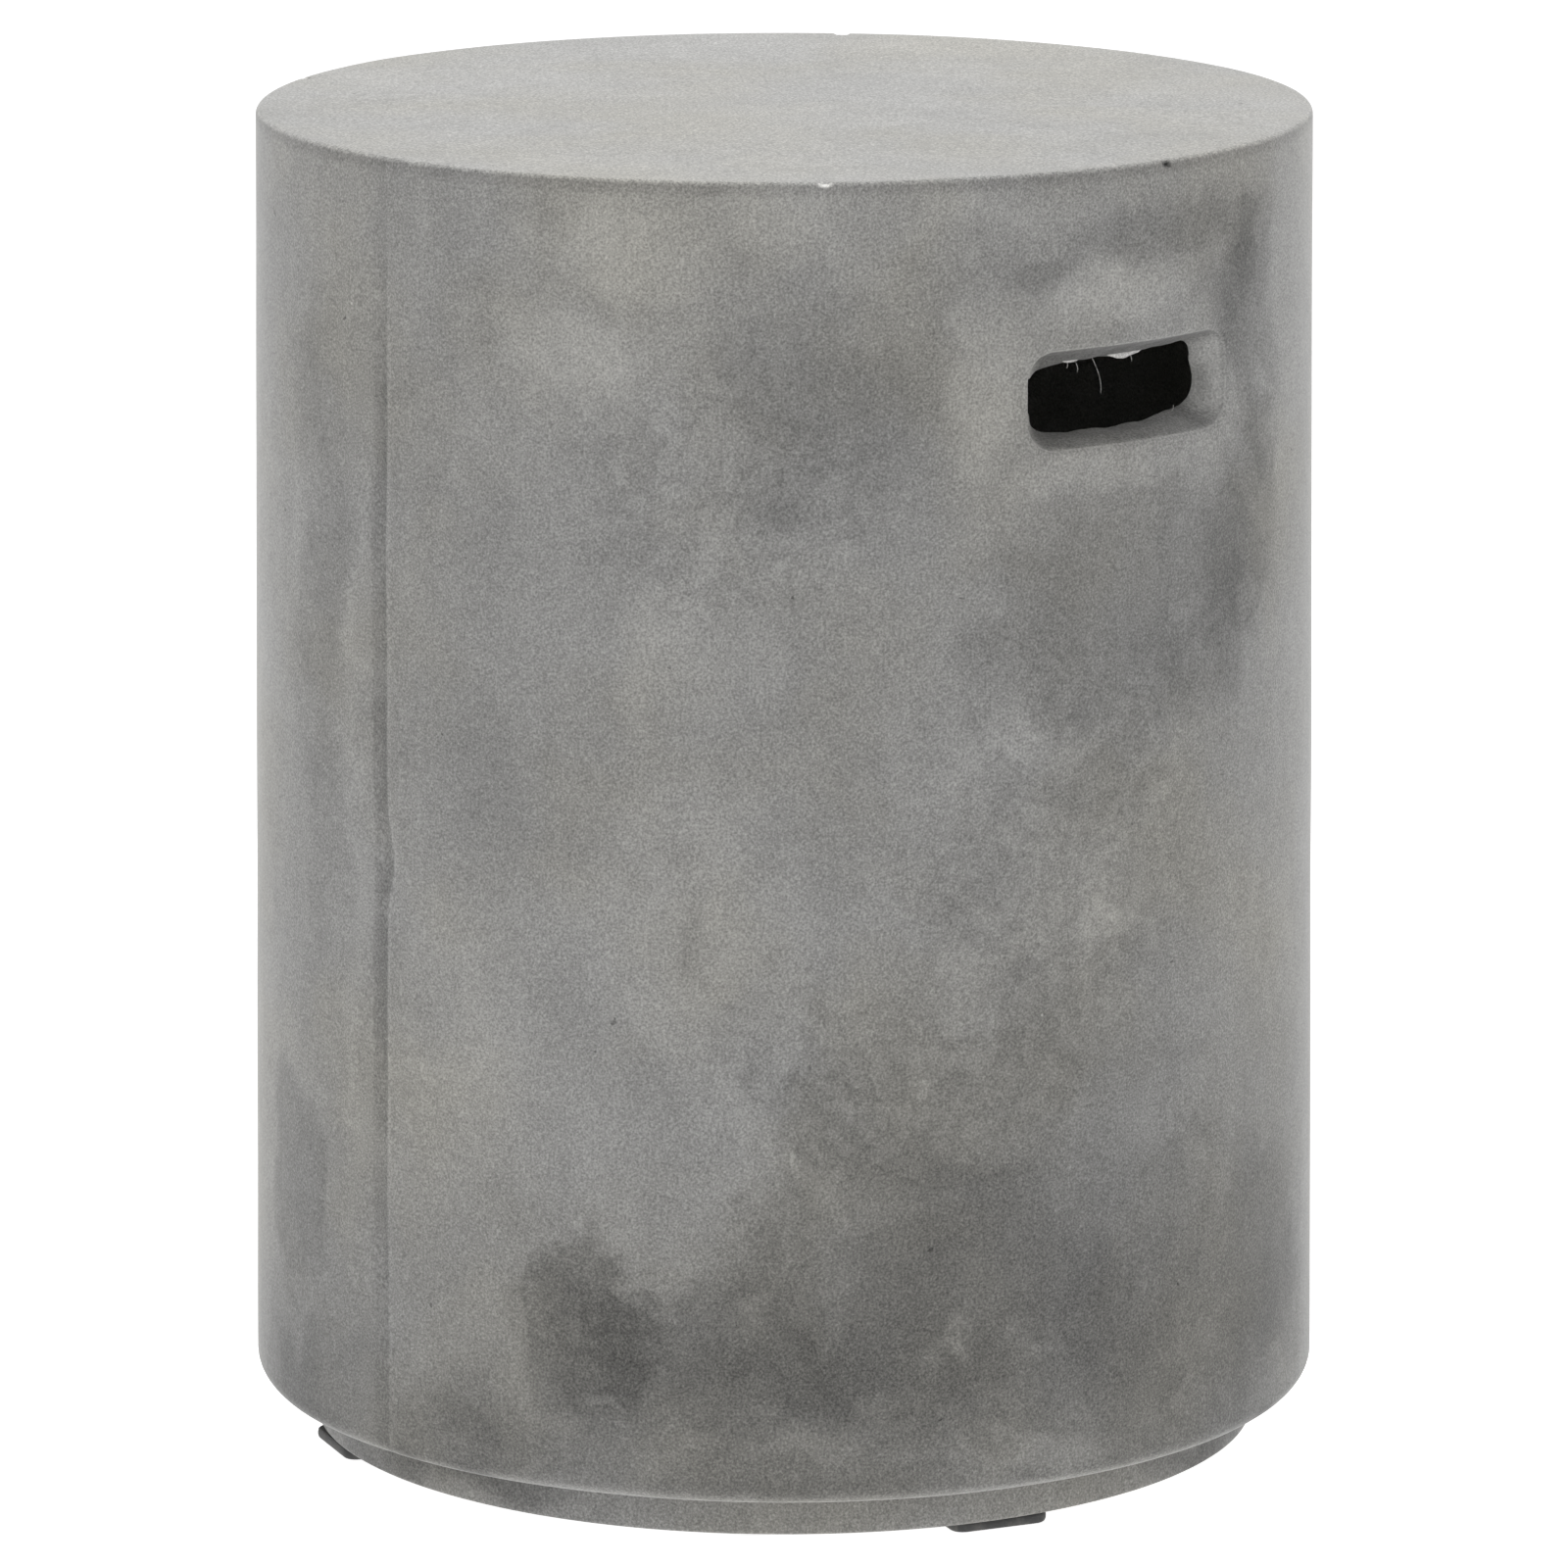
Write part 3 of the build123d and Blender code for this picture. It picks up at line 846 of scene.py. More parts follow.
# Tones of the concrete, in grey as it looks on screen, 0 to 1
WALL_TONE = 0.535
# The up-facing top is set lighter than the wall: painted light from above
LIT_TOP_TONE = 0.616
LIT_ROOM_TONE = 0.64  # the hollow inside, set lighter than the wall: painted light in the dark hollow
REVEAL_TONES = (0.60, 0.66)  # the lining of the slots, away from the painted shade
# How much darker the painted shade makes the slots' lining
LINING_SHADE_TONE = -0.163
LIP_HIGHLIGHT = 0.06  # how much lighter the slots' lips are: a painted highlight on their arris
CONCRETE_GAIN = 1.17  # from the screen's tone to the shader's colour, in the light of this scene
# How much lighter the painted highlight on the foot's arris is
FOOT_ARRIS_HIGHLIGHT = 0.07
# The pinholes are painted darker: painted shade in the holes
PIT_SPACING, PIT_SHADE = 0.011, -0.10
CRUMB_SPACING, CRUMB_TONE = 0.03, 0.17


def nearness(graph, place, azimuth, height, across, up):
    """1 in the middle of a place on the wall, 0 at its half width in degrees or half height in mm."""
    turn = radians(azimuth + SEEN_MIDDLE)
    radius = BASE_RADIUS - 2 * MM
    inputs = {
        "Vector": place,
        "Location": (radius * cos(turn), radius * sin(turn), height * MM),
        "Rotation": (0, 0, turn),
        "Scale": (CLOUD_REACH_INWARDS, radians(across) * radius, up * MM),
    }
    local = graph.add("Mapping", inputs, vector_type="TEXTURE").outputs[0]
    return graph.add("TexGradient", {"Vector": local}, gradient_type="SPHERICAL").outputs["Fac"]


def clouds_and_shade_tone(graph, place):
    """The sum of all clouds, some of them painted shade, in screen grey over 255, at a place that is already
    pushed about.
    """
    hidden = []
    for _ in range(HIDDEN_CLOUDS):
        azimuth, height = rng.uniform(88, 272), rng.uniform(30, 490)
        across, up, level = rng.uniform(9, 28), rng.uniform(18, 75), rng.uniform(-27, 20)
        hidden.append((azimuth, height, across, up, level, rng.uniform(0.5, 0.9)))
    ragged = graph.math("MULTIPLY_ADD", graph.noise(place, 0.034, 6.0, 0.62), 3.4, -0.7)
    total = 0.0
    for azimuth, height, across, up, level, fade in (*CLOUDS_AND_SHADE, *hidden):
        near = graph.math("MULTIPLY", nearness(graph, place, azimuth, height, across, up), ragged)
        total = graph.math("ADD", graph.ramp(near, 0.0, fade, 0.0, level / 255), total)
    return total


def surface_noises(graph):
    """The noises that the concrete's colour and relief share, and the places they are read at."""
    place = graph.place
    pushed = graph.warped(graph.warped(place, 0.05, 0.016), 0.014, 0.006)
    fine_pushed = graph.warped(pushed, 0.005, 0.0022)
    return {
        "pushed": pushed,
        "fine_pushed": fine_pushed,
        "drift": graph.noise(pushed, 0.16, 3.0, 0.55),
        "blotches": graph.noise(fine_pushed, 0.042, 4.0, 0.6, 0.4),
        "wisps": graph.noise(fine_pushed, 0.012, 4.0, 0.62),
        "grain": graph.noise(place, 0.00088, 1.0, 0.7),
        "sand": graph.noise(place, 0.0034, 3.0, 0.7),
        "runs": graph.noise(graph.stretched(pushed, (1, 1, 0.12)), 0.011, 3.0, 0.55),
        "pit_size": graph.noise(place, 0.02, 1.0),
    }


def height_tones(graph, tone):
    """Adds what depends on the height: darker towards the ground, painted shade above the foot's round, a
    painted highlight on its arris, painted shade under the rim, and painted light on the plinth's lower half.
    """
    height = graph.add("SeparateXYZ", {0: graph.warped(graph.place, 0.02, 0.0006)}).outputs["Z"]

    def between(low, high, start=0.0, end=1.0):
        return graph.ramp(height, low, high, start, end)

    tone = graph.math("ADD", tone, between(10 * MM, 170 * MM, -0.055, 0.0))
    # Painted shade on the foot's round, against the floor's glow
    shade_above_foot = between(FOOT_Z + 3 * MM, FOOT_Z + 13 * MM, -0.035, 0.0)
    on_shell = between(FOOT_Z + 0.8 * MM, FOOT_Z + 1.6 * MM)
    tone = graph.math("ADD", tone, graph.math("MULTIPLY", shade_above_foot, on_shell))
    # A painted highlight along the foot's arris, where it faces the glowing floor
    from_below = between(FOOT_Z - 0.8 * MM, FOOT_Z + 0.2 * MM)
    from_above = between(FOOT_Z + 1 * MM, FOOT_Z + 4.8 * MM, 1.0, 0.0)
    arris = graph.math("MULTIPLY", from_below, from_above)
    tone = graph.math("MULTIPLY_ADD", arris, FOOT_ARRIS_HIGHLIGHT, tone)
    # Painted shade on the rim's round
    tone = graph.math("ADD", tone, between(TOP_Z - 6.5 * MM, TOP_Z - 3 * MM, 0.0, -0.035))
    # Painted light on the plinth's lower half, where the floor glows
    return graph.math("ADD", tone, between(5 * MM, 16 * MM, 0.010, 0.0))


def mottle(graph, place, tone):
    """Adds the finer pattern of the mottled places."""
    share = 0.0
    for facts in MOTTLED:
        near = graph.ramp(nearness(graph, place, *facts), 0.0, 0.5)
        share = graph.math("ADD", near, share, clamp=True)
    pattern = graph.ramp(graph.noise(place, 0.008, 4.0, 0.7, 0.4), 0.38, 0.62, -0.026, 0.020)
    return graph.math("MULTIPLY_ADD", pattern, share, tone)


def wall_tone(graph, noises):
    """Tone of the wall, the plinth and the slots' lining."""
    reveal, lining_shade, wisps = graph.attribute("reveal"), graph.attribute("lining_shade"), noises["wisps"]
    tone = graph.math("ADD", clouds_and_shade_tone(graph, noises["fine_pushed"]), WALL_TONE)
    tone = graph.centred(noises["drift"], 0.045, tone)
    seam_tone = graph.ramp(wisps, 0.3, 0.7, -0.108, -0.075)
    tone = graph.math("ADD", tone, graph.math("MULTIPLY", graph.attribute("seam"), seam_tone))
    clean = graph.ramp(noises["blotches"], 0.3, 0.7, *REVEAL_TONES)
    # The slots' lining: its clean tone, with painted shade along the upper and lower sides and painted light at
    # the ends
    tone = graph.blend(reveal, tone, graph.math("MULTIPLY_ADD", lining_shade, LINING_SHADE_TONE, clean))
    # A painted highlight on the slots' outer lips
    lip_highlight = graph.math("MULTIPLY", graph.ramp(reveal, 0.0, 0.06), graph.ramp(reveal, 0.10, 0.45, 1.0, 0.0))
    tone = graph.math("MULTIPLY_ADD", lip_highlight, LIP_HIGHLIGHT, tone)
    tone = height_tones(graph, tone)
    tone = graph.centred(noises["runs"], 0.024, tone)
    return mottle(graph, noises["fine_pushed"], tone)


def pinholes(graph, noises):
    """1 in the small holes that air bubbles left in the face, 0 elsewhere."""
    pits = graph.cells(noises["fine_pushed"], PIT_SPACING)
    size = graph.ramp(noises["pit_size"], 0.55, 0.8, 0.0, 0.09)
    return graph.ramp(graph.math("SUBTRACT", pits, size), 0.0, 0.03, 1.0, 0.0)


def crumbs(graph, noises):
    """1 in sparse pale specks of sand, 0 elsewhere."""
    specks = graph.ramp(graph.cells(graph.place, CRUMB_SPACING), 0.012, 0.026, 1.0, 0.0)
    return graph.math("MULTIPLY", specks, graph.ramp(noises["pit_size"], 0.44, 0.56))


def concrete_material():
    """Cast cement: clouds of colour, fine grain, pinholes, a rough inside, painted highlights on the slots'
    lips and the foot's arris, and the mould's seams.
    """
    graph = Graph("cast_concrete")
    noises = surface_noises(graph)
    inside, top = graph.attribute("inside"), graph.attribute("top")
    drift, grain, blotches = noises["drift"], noises["grain"], noises["blotches"]

    # The up-facing top takes its lighter tone: painted light from above
    tone = graph.blend(top, wall_tone(graph, noises), graph.centred(drift, 0.05, LIT_TOP_TONE))
    tone = graph.blend(inside, tone, graph.centred(drift, 0.08, LIT_ROOM_TONE))
    tone = graph.math("ADD", tone, graph.attribute("chip"))
    for key, amount in (("blotches", 0.043), ("wisps", 0.030), ("sand", 0.024)):
        tone = graph.centred(noises[key], amount, tone)
    speckle = graph.math("SUBTRACT", grain, 0.5)
    tone = graph.math("MULTIPLY_ADD", speckle, graph.ramp(top, 0, 1, 0.39, 0.58), tone)
    holes = pinholes(graph, noises)
    # Painted shade in the pinholes
    tone = graph.math("MULTIPLY_ADD", holes, PIT_SHADE, tone)
    tone = graph.math("MULTIPLY_ADD", crumbs(graph, noises), CRUMB_TONE, tone)

    light = graph.math("POWER", tone, SCREEN_GAMMA)
    warm = graph.ramp(graph.noise(noises["pushed"], 0.10, 3.0), 0.35, 0.7)
    tint = graph.mix(warm, (1.008, 1.0, 0.975, 1), (1.025, 1.0, 0.92, 1))
    colour = graph.scaled(tint, graph.math("MULTIPLY", light, CONCRETE_GAIN))
    graph.put(colour, graph.shader.inputs["Base Color"])
    graph.shader.inputs["Sheen Weight"].default_value = 0.34
    graph.shader.inputs["Sheen Roughness"].default_value = 0.28

    rough = graph.centred(blotches, 0.10, 0.80)
    graph.put(graph.centred(grain, 0.08, rough), graph.shader.inputs["Roughness"])
    coarse = graph.noise(graph.place, 0.006, 3.0, 0.6)
    coarse_depth = graph.math("MULTIPLY_ADD", inside, 1.0, 0.12)
    graph.bump((
        (graph.noise(graph.place, 0.03, 3.0), 0.0006),
        (graph.math("MULTIPLY", coarse, coarse_depth), 0.0009),
        (grain, 0.00012),
        (graph.math("SUBTRACT", 1.0, holes), 0.0004),
    ))
    return graph.material


DUST_LEVEL = 42  # grey levels that dust adds to rubber


def rubber_material(name, level):
    """Black or grey rubber or sealant: dusty, pitted and a little patchy."""
    graph = Graph(name)
    dust = graph.ramp(graph.noise(graph.warped(graph.place, 0.006, 0.002), 0.009, 4.0, 0.6), 0.45, 0.75)
    colour = graph.mix(dust, grey(level), grey(level + DUST_LEVEL, 0.03))
    graph.put(colour, graph.shader.inputs["Base Color"])
    graph.put(graph.ramp(dust, 0, 1, 0.62, 0.9), graph.shader.inputs["Roughness"])
    graph.bump(((graph.noise(graph.place, 0.0012, 3.0, 0.6), 0.00015), (dust, 0.0001)))
    return graph.material


def metal_material(name, colour, dull, roughness):
    """Bare metal with turning marks, stains and dull spots."""
    graph = Graph(name)
    stain = graph.ramp(graph.noise(graph.warped(graph.place, 0.004, 0.001), 0.005, 4.0, 0.65), 0.4, 0.7)
    marks = graph.noise(graph.stretched(graph.place, (1, 1, 9)), 0.0016, 2.0)
    graph.put(graph.mix(stain, colour, dull), graph.shader.inputs["Base Color"])
    graph.shader.inputs["Metallic"].default_value = 1
    rough = graph.ramp(stain, 0, 1, roughness, roughness + 0.25)
    graph.put(graph.centred(marks, 0.06, rough), graph.shader.inputs["Roughness"])
    graph.bump(((marks, 0.00003), (stain, 0.00004)))
    return graph.material


def nylon_material():
    """Moulded grey nylon with flow clouds and a fine matte grain."""
    graph = Graph("nylon")
    flow = graph.noise(graph.warped(graph.place, 0.005, 0.002), 0.006, 3.0)
    graph.put(graph.mix(flow, grey(176, 0.01), grey(200, 0.02)), graph.shader.inputs["Base Color"])
    graph.put(graph.ramp(flow, 0.3, 0.7, 0.42, 0.58), graph.shader.inputs["Roughness"])
    graph.bump(((graph.noise(graph.place, 0.0006, 2.0), 0.00004),))
    return graph.material


def fibre_material():
    """A glass-fibre strand stiffened with cement paste: pale, with fine lines along it and grey crumbs."""
    graph = Graph("fibre")
    lines = graph.noise(graph.stretched(graph.place, (6, 6, 0.7)), 0.0015, 3.0)
    crumbs = graph.ramp(graph.noise(graph.place, 0.0022, 3.0, 0.6), 0.5, 0.65)
    colour = graph.mix(lines, grey(164, 0.02), grey(208, 0.02))
    graph.put(graph.mix(crumbs, colour, grey(118, 0.01)), graph.shader.inputs["Base Color"])
    graph.put(graph.ramp(crumbs, 0, 1, 0.45, 0.85), graph.shader.inputs["Roughness"])
    graph.bump(((lines, 0.00012), (crumbs, 0.00015)))
    return graph.material


concrete = concrete_material()
rubber = rubber_material("rubber", 60)
sealant = rubber_material("sealant", 120)
steel = metal_material("zinc_steel", (0.62, 0.63, 0.64, 1), (0.40, 0.39, 0.37, 1), 0.30)
brass = metal_material("brass", (0.72, 0.55, 0.27, 1), (0.42, 0.32, 0.19, 1), 0.32)
nylon = nylon_material()
fibre = fibre_material()
drum_points, drum_faces, drum_shares = make_drum()
drum = new_object("drum", drum_points, drum_faces, concrete, "shell_concrete", drum_shares)
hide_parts("drum_shell")

# ---------------------------------------------------------------- the smaller pieces

# Pads: azimuth, radius in mm and twist
PAD_PLACES = ((-113.5, 170.0, 5), (-13, 167.5, -4), (75, 168.0, 2), (163, 168.0, -3))
PAD_SIZE = np.array((18, 38, 5)) * MM
SCREW_SPACING = 22 * MM
BOLT_AZIMUTHS = (45, 135, 225, 315)
BOLT_CIRCLE = 163 * MM
RING_LOW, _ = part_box("base_ring")
PLATE_Z = 24 * MM


def spot(azimuth, radius):
    """A point on the ground at an azimuth and a radius."""
    return spun(np.zeros((1, 3)), azimuth, radius)[0]


def pad_spots(azimuth, radius, twist):
    """Where the two screws of a pad stand."""
    local = np.array(((0, -SCREW_SPACING / 2, 0), (0, SCREW_SPACING / 2, 0)))
    return spun(spun(local, twist), azimuth) + spot(azimuth, radius * MM)


RING_CHIPS = ((118, 3.4, 1.3), (-158, 2.4, 0.9), (64, 1.8, 0.7))  # azimuth, half width and depth in mm
RING_CHIP_HALF_HEIGHT = 2.2 * MM


def ring_offset(points):
    """Slow waves, fine roughness and chipped places of the base ring."""
    azimuth = np.degrees(np.arctan2(points[:, 1], points[:, 0]))
    radius = np.hypot(points[:, 0], points[:, 1])
    amount = 0.22 * MM * wavy_noise(points, WALL_WAVES) + 0.05 * MM * wavy_noise(points, ROUGH_WAVES)
    seen = (points[:, 2] < PLATE_Z) & (radius > 170 * MM)
    for at, half_width, depth in RING_CHIPS:
        across = np.radians(turned(azimuth - at)) * radius / (half_width * MM)
        up = (points[:, 2] - RING_LOW.z) / RING_CHIP_HALF_HEIGHT
        amount = amount - seen * depth * MM * np.clip(1 - across**2 - up**2, 0, 1) ** 0.7
    return outwards_at(points) * amount[:, None]


def make_ring(material):
    """The cast ring: a flat plate on a rim, with counterbored bolt holes and holes for the pads' plugs."""
    corners = ((148, 4), (179, 4), (179, 24), (184.4, 24), (184.4, 40), (130, 40), (130, 24), (148, 24))
    section = softened(np.array(corners) * MM, 1.4 * MM, 4, 2.2 * MM)
    breaks = sorted([turned(at) for at, _, _ in RING_CHIPS])

    def spacing(azimuth):
        near = min(max(0, abs(turned(azimuth - at)) - 1.2) for at, _, _ in RING_CHIPS)
        return min(1.3, 0.22 + 0.14 * near)

    columns = spread((-180, *breaks, 180), spacing)[:-1]
    points, faces = revolved(section, columns, ring_offset)
    ring = new_object("base_ring_cast", points, faces, material, "ring_concrete")
    bolt_bore = ((8.9, 3.5), (8.9, 4.2), (8.5, 5), (8.5, 16), (3.4, 16), (3.4, 41))
    plug_bore = ((3, 3.5), (3, 20))
    cutters = []
    for azimuth in BOLT_AZIMUTHS:
        x, y, _ = spot(azimuth, BOLT_CIRCLE)
        cutters.append(round_cutter(x, y, bolt_bore, 40))
    for place in PAD_PLACES:
        cutters += [round_cutter(x, y, plug_bore, 24) for x, y, _ in pad_spots(*place)]
    cut(ring, cutters)
    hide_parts("base_ring")


# How far a pad's side swells at each height, in mm
PAD_LAYERS = (
    (0, -1.0), (0.12, -0.55), (0.4, -0.15), (0.9, 0.12), (1.6, 0.3),
    (2.4, 0.34), (3.2, 0.2), (3.7, 0.0), (3.95, -0.3), (4.0, -0.6),
)


def make_pad(number, place, material):
    """A rubber pad, a little squashed, with two countersunk holes."""
    azimuth, radius, twist = place
    rings = []
    for z, swell in PAD_LAYERS:
        size = PAD_SIZE + np.array((2 * swell, 2 * swell, swell)) * MM
        outline = rounded_outline(size, (14, 24))
        flat = np.column_stack([outline, np.full(len(outline), z * MM)])
        dent = 0.25 * MM * wavy_noise(flat + number, WALL_WAVES) * (0 < z < 4)
        flat[:, :2] *= 1 + dent[:, None] / (9 * MM)
        rings.append(spun(spun(flat, twist), azimuth) + spot(azimuth, radius * MM))
    pad = new_object(f"rubber_pad_{number}", *stacked(rings), material, "pad_rubber")
    hole = ((3.5, -0.5), (3.4, 0.9), (1.9, 2.7), (1.9, 4.5))
    cut(pad, [round_cutter(x, y, hole, 32) for x, y, _ in pad_spots(*place)])
    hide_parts(f"foot_pad_{number}")


# Lugs, in mm. The lower part of the face is upright, the upper part slopes back to the wall.
LUG_LEVELS = (40, 40.6, 42, 45, 50, 56, 62, 68, 73, 77, 82, 88, 94, 100, 106, 112, 118, 122, 124.6, 125.4)
LUG_EDGE = {40: 1.2, 40.6: 0.3}  # how far the lower edge is set back at its rounded levels
LUG_FACE, LUG_BACK = 148, 191  # radii; the back is inside the wall
LUG_SLOPE_FROM, LUG_SLOPE_HEIGHT, LUG_SLOPE_DEPTH = 75, 50, 38
LUG_WIDTH, LUG_WIDENING, LUG_CORNER = 50, 5, 6.5


def make_lug(number, azimuth, material):
    """A lug packed by hand inside the wall: a block with a sloping upper side and a seat for its insert."""
    rings = []
    for z in LUG_LEVELS:
        rise = max(0, z - LUG_SLOPE_FROM) / LUG_SLOPE_HEIGHT
        face = LUG_FACE + LUG_SLOPE_DEPTH * (rise + 0.04 * sin(pi * min(1, rise))) + LUG_EDGE.get(z, 0)
        depth = LUG_BACK - face
        size = (2 * depth, LUG_WIDTH + LUG_WIDENING * rise, min(LUG_CORNER, depth * 0.9))
        outline = rounded_outline(size, (24, 30))
        outline[:, 0] = np.minimum(outline[:, 0], 0) + depth
        rings.append(np.column_stack([outline[:, 0] + face, outline[:, 1], np.full(len(outline), z)]) * MM)
    points, faces = stacked(rings)
    points = spun(points, azimuth)
    rough = 0.7 * MM * wavy_noise(points, ROUGH_WAVES) + 1.2 * MM * wavy_noise(points, WALL_WAVES)
    points = points + outwards_at(points) * (rough * (points[:, 2] > 41 * MM))[:, None]
    attributes = {"inside": np.ones(len(points))}
    lug = new_object(f"bolt_lug_{number}", points, faces, material, "shell_concrete", attributes)
    x, y, _ = spot(azimuth, BOLT_CIRCLE)
    insert_seat = ((5, 39), (5, 60), (3.4, 60), (3.4, 68.6))
    cut(lug, [round_cutter(x, y, insert_seat, 32)])
    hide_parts("drum_shell")


# Loose ends of glass-fibre strands at the slots' inner edges: slot, then in mm across and up from the slot's
# middle, length, lean across, lean outwards, curl and width
STRANDS = (
    (0, -11.0, 12.4, 14.2, 3.2, 2.0, 0.5, 0.85),
    (0, -18.8, 12.0, 5.0, 0.8, 1.0, 0.4, 0.7),
    (0, -22.0, 11.6, 2.6, -0.5, 0.8, 0.2, 0.45),
    (0, 7.0, 11.8, 3.6, 1.2, 0.5, 0.3, 0.45),
    (0, 30.0, -13.0, -2.6, 0.8, 0.6, 0.2, 0.45),
    (180, 12.0, 13.6, 9.0, -3.5, 1.8, -0.8, 0.8),
    (180, 15.5, 13.5, 5.0, 1.2, 0.7, 0.5, 0.5),
    (180, -21.0, 13.4, 3.4, -0.6, 1.0, 0.3, 0.45),
    (180, -3.0, -13.2, -3.8, 1.6, 1.0, 0.4, 0.5),
)
STRAND_THICKNESS = 0.32 * MM
STRAND_DEPTH = 13.6  # mm in from the wall's outer face


def make_strand(number, facts, material):
    """A strand that hangs from a slot's inner edge, or stands on it, and curls."""
    azimuth, across, up, length, lean, outwards, curl, width = facts
    share = np.linspace(0, 1, 15)
    u = across + lean * share + curl * np.sin(share * 2.6)
    z = up - length * share
    depth = STRAND_DEPTH - outwards * np.sin(share * pi * 0.8)
    flat = np.column_stack([u * MM, SLOT_Z + z * MM, depth * MM])
    path = np.concatenate([slot_place(a[None, 0], a[None, 1], a[2], azimuth) for a in flat])
    shape = strand_mesh(path, width * MM, STRAND_THICKNESS, 8)
    strand = new_object(f"fibre_strand_{number}", *shape, material, "shell_concrete")
    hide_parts("drum_shell")


# Torn slivers of cement film along the slots' inner edges: slot, then in mm from and to across, up from the
# slot's middle, and hang
FLASHES = (
    (0, -4.0, 13.0, 12.2, 2.5),
    (0, -24.5, -17.0, 11.9, 1.3),
    (180, -10.0, 9.0, 13.4, 2.6),
    (180, 20.0, 35.0, 13.2, 1.7),
    (180, -30.0, -12.0, -13.6, -1.8),
)
FLASH_DEPTH = 13.4  # mm in from the wall's outer face
# Share of the hang, and the film's thickness there in mm
FLASH_LAYERS = ((0, 1.5), (0.35, 1.1), (0.7, 0.7), (0.92, 0.4), (1.0, 0.12))
# The films' share of the slots' painted shade: below 0, so they come out lighter than the clean lining
FLASH_LINING_SHADE = -0.7


def make_flash(number, facts, material):
    """A thin ragged film hanging from the inner edge of a slot, thickest where it joins the wall."""
    azimuth, start, end, up, hang = facts
    across = np.linspace(start, end, max(12, int(abs(end - start) / 0.45)))
    share = (across - start) / (end - start)
    reach = hang * np.sin(pi * share) ** 0.5
    torn = wavy_noise(np.column_stack([across, across * 0, across * 0 + number]) * MM, RAGGED_WAVES)
    edge = reach * (0.75 + 0.55 * torn)
    front, back = [], []
    for down, thick in FLASH_LAYERS:
        z = SLOT_Z + (up - edge * down) * MM
        for face, side in ((-0.5, front), (0.5, back)):
            depth = (FLASH_DEPTH + 0.5 * torn * down + face * thick) * MM
            side.append(slot_place(across * MM, z, depth, azimuth))
    section = front + back[::-1]
    count, around = len(across), len(section)
    points = np.concatenate(section)
    faces = []
    for i in range(around):
        n = (i + 1) % around
        for j in range(count - 1):
            faces.append((i * count + j, i * count + j + 1, n * count + j + 1, n * count + j))
    faces.append(tuple(i * count for i in range(around)))
    faces.append(tuple(i * count + count - 1 for i in reversed(range(around))))
    shares = {"reveal": np.ones(len(points)), "lining_shade": np.full(len(points), FLASH_LINING_SHADE)}
    flash = new_object(f"slot_flash_{number}", points, faces, material, "shell_concrete", shares)
    rework(flash.data, lambda work: bmesh.ops.recalc_face_normals(work, faces=work.faces))
    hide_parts("drum_shell")


make_ring(concrete)
for number, place in enumerate(PAD_PLACES, 1):
    make_pad(number, place, rubber)
for number, azimuth in enumerate(BOLT_AZIMUTHS, 1):
    make_lug(number, azimuth, concrete)
for number, facts in enumerate(STRANDS, 1):
    make_strand(number, facts, fibre)
for number, facts in enumerate(FLASHES, 1):
    make_flash(number, facts, concrete)

# The CAD nodes that stay as they are take these finishes: material and width of the softened edges
FINISHES = {
    "joint_bead": (sealant, 0),
    "base_insert": (brass, 0.15 * MM),
    "base_washer": (steel, 0.15 * MM),
    "base_bolt": (steel, 0.25 * MM),
    "pad_screws": (steel, 0.08 * MM),
    "pad_plugs": (nylon, 0.15 * MM),
}
for name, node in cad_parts.items():
    for start, (material, edge) in FINISHES.items():
        if name.startswith(start):
            for place in node.material_slots:
                place.material = material
            if edge:
                bevel = node.modifiers.new("softened_edges", "BEVEL")
                bevel.width, bevel.segments, bevel.limit_method = edge, 2, "ANGLE"

# ---------------------------------------------------------------- floor, light and camera

CAMERA_AZIMUTH = 49.7  # anticlockwise from straight in front, seen from above
CAMERA_DISTANCE = 3.506
CAMERA_HEIGHT = 1.009
CAMERA_PITCH = 12.282
CAMERA_LENS = 217.87

FLOOR_HALF_SIZE = 14
# How the floor's glow changes with the distance from the axis: from, to, and the change from start to end
FLOOR_GLOW = ((0.150, 0.166, 0.88), (0.186, 0.250, -0.46), (0.25, 0.60, -0.16))

# Soft boxes: name, azimuth, elevation, distance, (width, height) and power in watts
LIGHTS = (
    ("overhead", 139.7, 66, 4.6, (11, 11), 330),
    ("left", -178, 20, 2.6, (1.2, 1.8), 12),
    ("right", 96, 16, 2.6, (1.2, 1.8), 11),
    ("front", -50, 12, 3.4, (2.4, 1.6), 7),
)
LIGHT_TARGET_HEIGHT = 0.25
WORLD_STRENGTH = 0.42


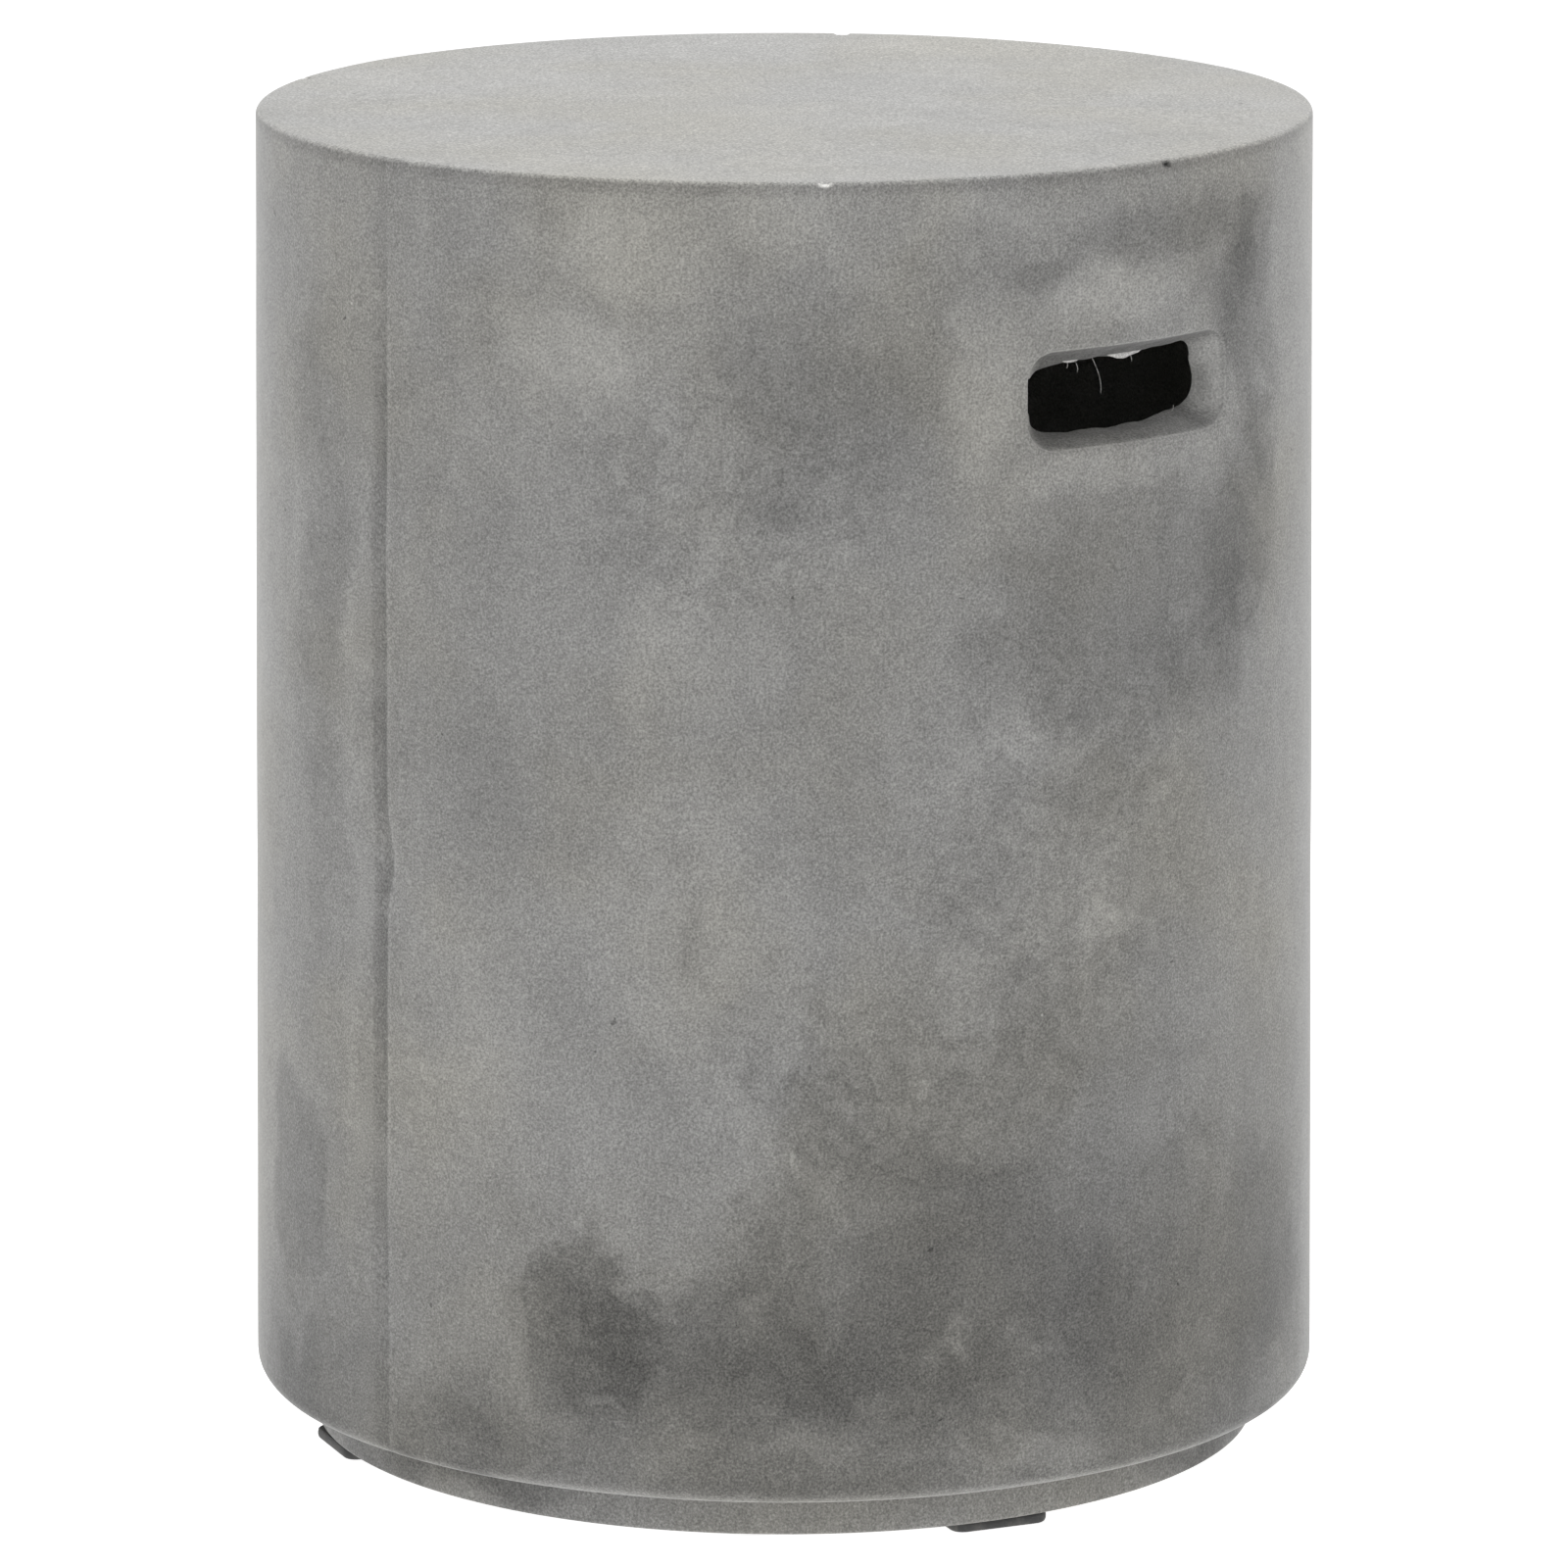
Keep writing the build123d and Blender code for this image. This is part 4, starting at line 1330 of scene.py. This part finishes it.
def make_floor():
    """A plain pale floor that glows softly round the drum, as the photograph's white ground does."""
    size = FLOOR_HALF_SIZE
    corners = [(-size, -size, 0), (size, -size, 0), (size, size, 0), (-size, size, 0)]
    floor = bare_object("floor", corners, [(0, 1, 2, 3)])
    graph = Graph("pale_floor")
    graph.put((0.86, 0.86, 0.86, 1), graph.shader.inputs["Base Color"])
    graph.put(0.7, graph.shader.inputs["Roughness"])
    graph.put((1, 1, 1, 1), graph.shader.inputs["Emission Color"])
    away = graph.add("VectorMath", {0: graph.place}, operation="LENGTH").outputs["Value"]
    glow = 0.0
    for start, end, change in FLOOR_GLOW:
        glow = graph.math("ADD", glow, graph.ramp(away, start, end, 0.0, change))
    graph.put(glow, graph.shader.inputs["Emission Strength"])
    floor.data.materials.append(graph.material)


def make_light(name, azimuth, elevation, distance, size, power):
    """A soft box that faces the drum, at an azimuth and elevation as seen from it."""
    data = bpy.data.lights.new(name, "AREA")
    data.shape = "RECTANGLE"
    data.size, data.size_y = size
    data.energy = power
    light = bpy.data.objects.new(name, data)
    bpy.context.scene.collection.objects.link(light)
    a, e = radians(azimuth), radians(elevation)
    height = LIGHT_TARGET_HEIGHT + distance * sin(e)
    light.location = (distance * cos(e) * cos(a), distance * cos(e) * sin(a), height)
    light.rotation_euler = (pi / 2 - e, 0, a + pi / 2)
    light.visible_camera = False


def make_camera():
    data = bpy.data.cameras.new("camera")
    data.sensor_width = 36
    data.lens = CAMERA_LENS
    data.clip_end = 60
    camera = bpy.data.objects.new("camera", data)
    bpy.context.scene.collection.objects.link(camera)
    a = radians(CAMERA_AZIMUTH)
    camera.location = (CAMERA_DISTANCE * sin(a), -CAMERA_DISTANCE * cos(a), CAMERA_HEIGHT)
    camera.rotation_euler = (radians(90 - CAMERA_PITCH), 0, a)
    bpy.context.scene.camera = camera


def make_world():
    """Even white light from all around."""
    world = bpy.data.worlds.new("world")
    world.use_nodes = True
    background = world.node_tree.nodes["Background"].inputs
    background["Color"].default_value = (1, 1, 1, 1)
    background["Strength"].default_value = WORLD_STRENGTH
    bpy.context.scene.world = world


make_floor()
for facts in LIGHTS:
    make_light(*facts)
make_world()
make_camera()
bpy.context.scene.view_settings.view_transform = "Standard"
